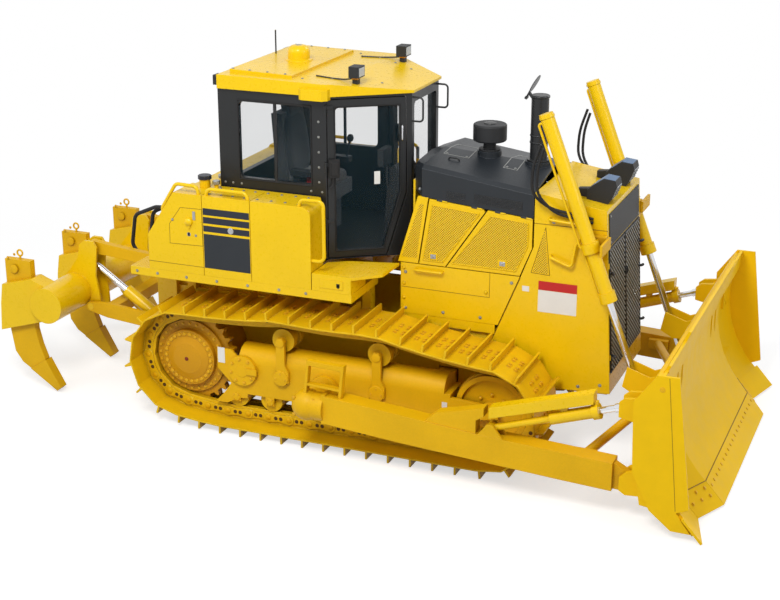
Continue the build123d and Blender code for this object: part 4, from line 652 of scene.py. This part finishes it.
def build_cover_details():
    """Mesh, seams, bolts and latches on the engine's sides."""
    y = -COVER_Y
    mesh_panels, bolts, seams = shapes(3)
    # the fixed rear panel and the nose vent
    mesh_panels.prism([(1990, 1745), (2135, 1745), (2200, 2262), (2165, 2262)], y, y - 2)
    mesh_panels.prism([(3341, 2154), (3244, 1753), (3385, 1747)], y, y - 2)
    mesh_panels.pair("side_mesh", perforated, "yellow_paint")
    strip(seams, [(3350, 2172), (3228, 1742), (3400, 1735)], 6, y, 1.2)
    strip(seams, [(3244, 2201), (3905, 2201)], 6, y, 0.9, closed=False)
    strip(seams, [(3130, 1676), (2935, 1196), (2735, 705)], 6, y, 0.9, closed=False)
    seams.pair("nose_seams", seam_dark)
    spots = ((2030, 1250), (2030, 1600), (2400, 1250), (2760, 1250), (3050, 1620), (3300, 800), (3900, 760),
             (3700, 720), (3420, 2230), (3700, 2230))
    for x, z in spots:
        bolts.bolt((x, y, z), RIGHT, 11, 9)
    bolts.pair("cover_bolts", bolt_grey)

    doors = (("rear", [(2200, 1735), (2390, 1735), (2735, 2228), (2285, 2262)], (2300, 1780)),
             ("front", [(2480, 1735), (3085, 1735), (3188, 1975), (3188, 2190), (2840, 2218)], (2960, 1790)))
    for side, sign in SIDES:
        for which, outline, (x, z) in doors:
            body = f"engine_door_{which}_{side}"
            inlay, rim, lock = shapes(3)
            inlay.prism(outline, sign * COVER_Y, sign * (COVER_Y + 2))
            inlay.make(f"mesh_{which}_{side}", perforated, body, "yellow_paint")
            for (x0, z0), (x1, z1) in around(outline):
                rim.tube([(x0, sign * 601, z0), (x1, sign * 601, z1)], 6, 6)
            rim.box((x - 42, x + 42), (sign * COVER_Y, sign * 606), (z - 34, z + 34))
            rim.make(f"mesh_frame_{which}_{side}", yellow, body, "yellow_paint")
            lock.box((x - 26, x + 26), (sign * 605, sign * 611), (z - 20, z + 20))
            lock.turned((x, sign * 610, z), (0, sign, 0), [(0, 9), (6, 9), (8, 6)], 16)
            lock.make(f"latch_{which}_{side}", steel, body)


def clipped(start, end, low, high):
    """The start of a slanting line of (y, z), moved along it to lie between two heights."""
    (y, z), (far_y, far_z) = start, end
    for limit, keep in ((low, 1), (high, -1)):
        if (z - limit) * keep < 0:
            share = (limit - z) / (far_z - z)
            y, z = y + (far_y - y) * share, limit
    return y, z


def build_nose_details():
    """Slats, frames and catches of the grille leaves, bolts of the blank badge panel, and blank signs."""
    (x_low, z_low), (x_high, z_high) = (3982, 873), (3911, 2022)
    near, far, pitch, slope = 22, 545, 46, 0.8

    def face(y, z, out):
        """A place in front of a grille leaf, which leans back."""
        return x_low + (x_high - x_low) * (z - z_low) / (z_high - z_low) + out, y, z

    for side, sign in SIDES:
        slats, frame_bars, catch = shapes(3)
        for k in range(-20, 60):
            start, end = ((y * sign, z_low + k * pitch - sign * y * slope) for y in (near, far))
            if max(start[1], end[1]) < z_low + 20 or min(start[1], end[1]) > z_high - 20:
                continue
            a, b = (clipped(*ends, z_low + 18, z_high - 18) for ends in ((start, end), (end, start)))
            if abs(a[0] - b[0]) >= 12:
                slats.tube([face(*a, 4), face(*b, 4)], 9, 4)
        slats.make(f"grille_slats_{side}", slat_highlight_grey, f"grille_door_{side}", "dark_paint")
        for (y0, z0), (y1, z1) in around(rect(near - 8, far + 8, z_low + 12, z_high - 12)):
            frame_bars.tube([face(y0 * sign, z0, 3), face(y1 * sign, z1, 3)], 9, 6)
        frame_bars.make(f"grille_frame_{side}", cab_black, f"grille_door_{side}", "dark_paint")
        for z in (1030, 1560, 1800):
            hook = ((520, 4), (528, 34), (560, 38))
            catch.tube([face(sign * y, z, out) for y, out in hook], 13, 10, bend=16)
        catch.tube([face(sign * 24, z, out) for z, out in ((1700, 3), (1700, 20), (1640, 20))], 7, 8, bend=8)
        catch.make(f"grille_catches_{side}", plastic, f"grille_door_{side}")

    badge, sign_plate, band = shapes(3)
    for y in (-500, 500):
        for z in (2072, 2308):
            badge.bolt((4000 - (z - 689) * 104 / 1689, y, z), (1, 0, 0), 9, 7)
    badge.make("badge_bolts", bolt_grey, "chassis")
    for outline in (rect(3300, 3655, 1385, 1590), rect(3150, 3215, 1560, 1610)):
        sign_plate.prism(outline, -COVER_Y, -COVER_Y - 1.4)
    band.prism(rect(3300, 3655, 1592, 1675), -COVER_Y, -COVER_Y - 1.4)
    sign_plate.pair("blank_signs", label_white)
    band.pair("sign_bands", label_red)


def build_hood_details():
    """Bands of the precleaner and the stack, a handle, and bolts along the hood's edges."""
    rims, handle, bolts = shapes(3)
    stack_x, precleaner_x = 3085, 2618
    for z, band in ((2775, [(0, 83), (4, 86), (14, 86), (18, 83)]),
                    (2840, [(0, 83), (4, 85), (10, 85), (14, 83)]),
                    (3190, [(0, 82), (5, 88), (18, 88), (24, 82)])):
        rims.turned((stack_x, 0, z), UP, band, 32)
    for z, band in ((2790, [(0, 154), (3, 154.8), (14, 154.8), (17, 154)]),
                    (2868, [(0, 154), (3, 154.8), (8, 154.8), (11, 154)])):
        rims.turned((precleaner_x, 0, z), UP, band, 48)
    rims.turned((precleaner_x, 0, 2914), UP, [(0, 60), (8, 56), (12, 20), (12, 0)], 24)
    rims.make("intake_and_stack_bands", cab_black, "chassis", "dark_paint")
    bow = ((2330, 2590), (2330, 2640), (2430, 2636), (2430, 2585))
    handle.tube([(x, -300, z) for x, z in bow], 8, 8, bend=20)
    handle.make("hood_handle", cab_black, "chassis", "dark_paint")
    for sign in (-1, 1):
        for x in (2150, 2480, 2800, 3150):
            bolts.bolt((x, sign * 560, 2400 - (x - 2045) * 0.088), (0, sign, 0.2), 9, 8)
    bolts.make("hood_bolts", bolt_grey, "chassis")


EDGE_FLAT_Y, EDGE_TURN_Y, EDGE_BACK = 1040, 1378, 157


def edge_shift(y):
    """How far the cutting edge runs back from its middle line at a place across the blade."""
    y = abs(y)
    if y < EDGE_FLAT_Y:
        return 0
    if y < EDGE_TURN_Y:
        return EDGE_BACK * (y - EDGE_FLAT_Y) / (EDGE_TURN_Y - EDGE_FLAT_Y)
    return EDGE_BACK + (y - EDGE_TURN_Y) * 0.28


def build_blade_details():
    """Bolts of the cutting edges, fold lines of the end plates and the edge, and the side plugs."""
    bolts, seams, plug = shapes(3)
    normal = (0.745, 0, 0.667)
    rows = [(y, 0.74) for y in range(-990, 1000, 110)]
    for places, shares in (((1100, 1210, 1320), (0.5, 0.82)), ((1430, 1530, 1630, 1730), (0.48, 0.8))):
        rows += [(sign * y, share) for sign in (-1, 1) for y in places for share in shares]
    for y, share in rows:
        bolts.bolt((5142 - 170 * share - edge_shift(y), y, 21 + 190 * share), normal, 16, 11, washer=1.3)
    for sign in (-1, 1):
        strip(seams, [(4752, 1415), (4866, 262)], 5, sign * BLADE_END_Y, -sign, closed=False)
        plug.turned((4700, sign * (BLADE_END_Y - 1), 1310), (0, sign, 0), [(0, 24), (4, 23), (6, 12)], 20)
    for sign in (-1, 1):
        seams.tube([(4972, 0, 217), (4972, sign * EDGE_FLAT_Y, 217), (4815, sign * EDGE_TURN_Y, 217)], 5, 6)
    bolts.make("blade_bolts", bolt_yellow, "blade", "track_paint")
    seams.make("blade_side_folds", seam_dark, "blade")
    plug.make("blade_side_plugs", bolt_yellow, "blade")


PILLAR_X, DOOR_COS, DOOR_SIN = 1330, 0.8209, 0.571


def on_door(sign, *places):
    """Places on a cab door, from distances from the hinge pillar and out of the leaf, and heights."""
    return [(PILLAR_X + DOOR_COS * along + DOOR_SIN * out,
             sign * (CAB_Y - DOOR_SIN * along + DOOR_COS * out), z) for along, out, z in places]


def build_cab_doors():
    """Handle, latch box, seal and blank notice of each cab door."""
    pane = ((84, 1767), (536, 1767), (698, 2308), (690, 3113), (84, 3113))
    for side, sign in SIDES:
        body = f"cab_door_{side}"
        handle, box, note = shapes(3)
        grip = on_door(sign, (702, 0, 2786), (702, 34, 2790), (702, 34, 2923), (702, 0, 2927))
        handle.tube(grip, 8, 10, bend=18)
        handle.make(f"door_handle_{side}", chrome, body)
        for u0, u1, z0, z1, out in ((20, 128, 2470, 2640, 34), (36, 112, 2495, 2612, 44)):
            outline = ((u0, 0), (u1, 0), (u1 - 8, out), (u0 + 8, out))
            box.loft([[at(*place) for place in on_door(sign, *((*spot, z) for spot in outline))]
                      for z in (z0, z1)])
        box.tube(on_door(sign, (60, 20, 2475), (60, 30, 2400), (24, 30, 2370)), 7, 8, bend=30)
        for (u0, z0), (u1, z1) in around(pane):
            box.tube(on_door(sign, (u0, 1, z0), (u1, 1, z1)), 7, 6)
        box.make(f"door_latch_and_seal_{side}", rubber, body)
        corners = rect(450, 505, 2380, 2500)
        note.loft([[at(*place) for place in on_door(sign, *((u, out, z) for u, z in corners))]
                   for out in (-16, -15)])
        note.make(f"door_blank_notice_{side}", label_white, body)


def build_cab_sides():
    """Seals of the side windows and the bolts round them."""
    seals, bolts = shapes(2)
    for (x0, z0), (x1, z1) in around(rect(453, 1188, 2375, 3120)):
        seals.tube([(x0, -CAB_Y - 1, z0), (x1, -CAB_Y - 1, z1)], 7, 6)
    spots = [(1262, z) for z in range(2420, 3000, 140)]
    spots += [(x, 2330) for x in (300, 380, 470, 1180, 1290)]
    for x, z in spots:
        bolts.bolt((x, -CAB_Y, z), RIGHT, 8, 7)
    seals.pair("side_window_seals", rubber)
    bolts.pair("cab_bolts", bolt_grey)


def squared(value, power):
    """A sine or cosine pushed towards its ends, which turns a circle into a square with round corners."""
    return math.copysign(abs(value) ** power, value)


def cushion(middle, half, lean):
    """A soft block about its middle, with half sizes along x, y and z, which leans back towards its top."""
    rings, layers, sides = [], 15, 32
    for i in range(layers):
        tilt = math.pi * (i + 0.5) / layers - math.pi / 2
        rise, wide = squared(math.sin(tilt), 0.6), squared(math.cos(tilt), 0.35)
        ring = []
        for turn in (2 * math.pi * k / sides for k in range(sides)):
            u, v = squared(math.cos(turn), 0.45), squared(math.sin(turn), 0.45)
            ring.append(at(middle[0] + half[0] * wide * u - lean * half[2] * rise,
                           middle[1] + half[1] * wide * v, middle[2] + half[2] * rise))
        rings.append(ring)
    return Shape().loft(rings)


def build_cab_inside():
    """Cushions, arm rests with their levers, a monitor, the buckle and a switch."""
    for name, middle, half, lean in (("seat_cushion", (880, 0, 2240), (235, 250, 62), 0),
                                     ("seat_back_cushion", (632, 0, 2560), (70, 225, 290), 0.13),
                                     ("head_rest", (600, 0, 2900), (52, 130, 78), 0.13)):
        shape = cushion(middle, half, lean)
        shape.make(name, seat_cloth, "chassis", smooth=60)
    red, arms = shapes(2)
    for y in (-330, 330):
        arms.box((760, 1080), (y - 45, y + 45), (2330, 2385))
        arms.box((780, 840), (y - 20, y + 20), (1735, 2330))
        arms.tube([(1040, y, 2380), (1060, y, 2480), (1075, y, 2540)], 11, 8, bend=20)
        arms.turned((1075, y, 2530), (0.1, 0, 1), [(0, 12), (14, 30), (44, 34), (70, 22), (76, 4)], 16)
    arms.box((1640, 1700), (-330, -130), (2490, 2650))
    arms.tube([(1700, -230, 2300), (1690, -230, 2500)], 16, 8)
    arms.make("arm_rests_and_monitor", plastic, "chassis")
    red.box((900, 950), (-296, -270), (2250, 2310))
    red.turned((1075, -330, 2604), UP, [(0, 20), (6, 18), (9, 8)], 14)
    red.make("buckle_and_switch", label_red, "chassis")


def roof_top(x):
    """Height of the roof: the plate at its rear, then its long face, then its front slope."""
    if x < 960:
        return 3375 - (x - 330) * 0.0286
    if x < 1380:
        return 3343 - (x - 262) * 0.0143
    return 3327 - (x - 1380) * 0.14


def build_lamp_details():
    """Tops, lenses, bars and brackets of the lamps, and the roof's bolts, cables, aerial and dome foot."""
    shells, lenses, mount, bolts, cables, foot = shapes(6)
    top = [(3660, 2502), (3702, 2543), (3800, 2614), (3900, 2602), (3900, 2596), (3800, 2606), (3704, 2536)]
    front = [(3883, 2434), (3924, 2541), (3914, 2545), (3873, 2438)]
    for y in (-320, 320):
        shells.prism(top, y - 84, y + 84)
        lenses.prism(front, y - 76, y + 76)
        for z in (2450, 2475, 2500, 2525):
            x = 3884 + (z - 2436) * 0.38
            cables.box((x, x + 5), (y - 78, y + 78), (z, z + 6))
    shells.make("head_lamp_tops", lamp_blue, "chassis", "dark_paint")
    for y in (-573, 573):
        lenses.box((1586, 1593), (y - 58, y + 58), (3377, 3453))
        mount.box((1508, 1562), (y - 34, y + 34), (3345, 3362))
    for y in (-740, 740):
        lenses.box((197, 202), (y - 40, y + 40), (3247, 3313))
    lenses.make("lamp_lenses", lens, "chassis")
    mount.make("lamp_brackets", amber, "chassis")
    foot.turned((700, 0, 3358), UP, [(0, 132), (13, 130), (16, 112), (20, 106)], 32)
    foot.make("dome_foot", yellow, "chassis", "yellow_paint")
    bolts.turned((700, 0, 3500), UP, [(0, 40), (6, 30), (6.5, 2)], 20)
    for x in (350, 520, 700, 880, 1050, 1300, 1500, 1700):
        half = 670 if x < 1300 else 560 - (x - 1300) * 0.5
        for y in (-half, half):
            bolts.bolt((x, y, roof_top(x)), UP, 10, 8)
    cables.tube([(375, 170, 3370), (375, 170, 3599)], 7.5, 10)
    bolts.make("roof_bolts", bolt_grey, "chassis")
    for sign in (-1, 1):
        run = ((1520, 573, 3352), (1440, 590, 3338), (1300, 560, 3333), (1120, 520, 3338))
        cables.tube([(x, sign * y, z) for x, y, z in run], 7, 8, bend=40)
    cables.make("lamp_bars_and_cables", cab_black, "chassis", "dark_paint")


def touch(node, start, way):
    """Where a line from start along way first meets a CAD node, and the outward direction there."""
    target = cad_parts[node]
    back = target.matrix_world.inverted()
    hit, place, normal, _ = target.ray_cast(back @ at(*start), (back.to_3x3() @ Vector(way)).normalized())
    if not hit:
        raise ValueError(f"no part of {node} lies there")
    return target.matrix_world @ place, (target.matrix_world.to_3x3() @ normal).normalized()


def hood_band(shape, ends, way, width, proud, steps=16):
    """A flat band laid on the hood between two places, found along a direction."""
    first, last = (Vector(p) for p in ends)
    places = [touch("hood", first.lerp(last, i / steps), way) for i in range(steps + 1)]
    side = (places[-1][0] - places[0][0]).normalized().cross(places[0][1]) * width / 2000
    rings = []
    for place, normal in places:
        low, high = place - normal * 0.001, place + normal * proud / 1000
        rings.append([low + side, low - side, high - side, high + side])
    shape.loft(rings)


def build_hood_panels():
    """Hatch seams and bolts on the hood, and louvres on its sides."""
    seams, bolts, louvres = shapes(3)
    for low_x, high_x, half in ((2240, 2480, 190), (2830, 2960, 240)):
        corners = [(x, y, 2900) for x, y in rect(low_x, high_x, -half, half)]
        for ends in around(corners):
            hood_band(seams, ends, DOWN, 8, 1.5)
        for x, y, z in corners:
            spot, normal = touch("hood", (x + (25 if x == low_x else -25), y * 0.88, z), DOWN)
            bolts.bolt(((spot.x - AXLE_X) * 1000, spot.y * 1000, spot.z * 1000), normal, 9, 6)
    for sign in (-1, 1):
        for count, pitch, *ends in ((7, 13, (2680, 2326), (3130, 2298)), (5, 16, (2420, 2340), (2600, 2328))):
            for k in range(count):
                places = [(x, sign * 900, z + k * pitch) for x, z in ends]
                hood_band(louvres, places, (0, -sign, 0), 5, 4)
    # The hatch seams are drawn in the light slat grey: a painted highlight along them.
    seams.make("hood_hatch_seams", slat_highlight_grey, "chassis")
    louvres.make("hood_side_louvres", cab_black, "chassis", "dark_paint")
    bolts.make("hood_hatch_bolts", bolt_grey, "chassis")


def build_side_cover_details():
    """Seam, handle, bolts and lower strip of the side covers."""
    seams, rail, heads, skirt = shapes(4)
    strip(seams, [(1990, 1455), (2844, 1455), (2844, 1686)], 5, -COVER_Y, 0.9, closed=False)
    bow = ((2127, 0), (2127, 42), (2394, 42), (2394, 0))
    rail.tube([(x, -COVER_Y - out, 1640) for x, out in bow], 10, 10, bend=30)
    for x, z in ((2014, 1640), (2014, 1490), (2014, 1350), (2014, 1250), (2811, 1500)):
        heads.bolt((x, -COVER_Y, z), RIGHT, 14, 10)
    skirt.box((1985, 2900), (-598, -586), (1110, 1206))
    seams.pair("side_cover_seams", seam_dark)
    rail.pair("side_cover_handles", yellow, "yellow_paint")
    heads.pair("side_cover_bolts", yellow, "yellow_paint")
    skirt.pair("side_cover_skirts", yellow, "yellow_paint")


def build_deck_details():
    """Tread dots of the platforms, step panels, slots and filler lids."""
    dots, slots, plates, lids, caps = shapes(5)
    dot = [(0, 8), (3, 7), (4, 3)]
    for x in range(1400, 1960, 42):
        for y in range(850, 1180, 42):
            if y < 1180 - max(0, x - 1690) * 1.1:
                dots.turned((x, -y, 1683), UP, dot, 6)
    for x in range(-520, -340, 30):
        for y in range(840, 1180, 36):
            dots.turned((x, -y, 1521), UP, dot, 6)
    dots.pair("tread_dots", yellow, "yellow_paint")
    step_y = -CABINET_Y - 4
    plates.prism(rect(1430, 1660, 1556, 1640), -CABINET_Y, step_y)
    plates.pair("step_panels", yellow, "yellow_paint")
    # The slots are thin black plates: painted shade for the dark inside each opening.
    slots.turned((1612, step_y, 1585), RIGHT, [(0, 16), (1, 16)], 16)
    slots.prism(rect(1596, 1628, 1585, 1612), step_y, step_y - 1)
    slots.prism(rect(96, 118, 1890, 1922), -CABINET_Y, -CABINET_Y - 2)
    lids.turned((136, -900, 2368), UP, [(0, 64), (30, 64), (36, 58)], 28)
    for x, y in ((257, -900), (200, -680)):
        caps.turned((x, y, 2329), UP, [(0, 36), (30, 36), (34, 30)], 20)
    lids.make("large_filler_lid", navy, "chassis")
    caps.make("small_filler_lids", steel, "chassis")
    slots.pair("step_and_panel_slots", slot_shade_black)


def build_arm_details():
    """Bolts of the push arms, and bosses, discs and bolts of the ripper beam."""
    arm, ripper, keepers = shapes(3)
    for x in (1360, 1550):
        for z in (640, 480):
            arm.bolt((x, -1625, z), RIGHT, 15, 13)
    arm.make("push_arm_bolts", bolt_yellow, "push_arms", "track_paint", mirrored=True)
    boss = [(0, 44), (10, 42), (13, 28), (14, 0)]
    for y in (-1003, 0, 1003):
        for side in (-1, 1):
            keepers.turned((-1976, y + side * 51, 1267), (0, side, 0), boss, 24)
            ripper.bolt((-1900, y + side * 52, 1150), (0, side, 0), 13, 10)
            ripper.bolt((-2040, y + side * 52, 1380), (0, side, 0), 10, 9)
    for side in (-1, 1):
        keepers.turned((-1575, side * 1148.045, 956), (0, side, 0), [(0, 150), (1, 148)], 40)
    keepers.make("pin_keepers", cast_yellow, "ripper_beam", "track_paint")
    ripper.make("ripper_bolts", bolt_yellow, "ripper_beam", "track_paint")


def build_lift_hoses():
    """Two oil hoses a side from the nose to the lift barrel."""
    for side, sign in SIDES:
        hoses = Shape()
        for back, low in ((0, 0), (44, 34)):
            run = [(3773, 606, 2262 + low), (3610, 622, 2290 + low), (3440 - back, 660, 2330 + low),
                   (3296 - back, 735, 2500), (3300 - back, 757, 2740), (3352 - back * 0.6, 757, 2915 + low)]
            hoses.tube([(x, sign * y, z) for x, y, z in run], 13, 10, bend=90)
        piece = hoses.make(f"lift_hoses_{side}", rubber, None)
        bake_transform(piece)


# ------ build everything
for build in (build_track_details, build_wheel_details, build_cabinet_details, build_cover_details,
              build_nose_details, build_hood_details, build_blade_details, build_cab_doors, build_cab_sides,
              build_cab_inside, build_lamp_details, build_deck_details, build_arm_details, build_lift_hoses,
              build_hood_panels, build_side_cover_details):
    build()
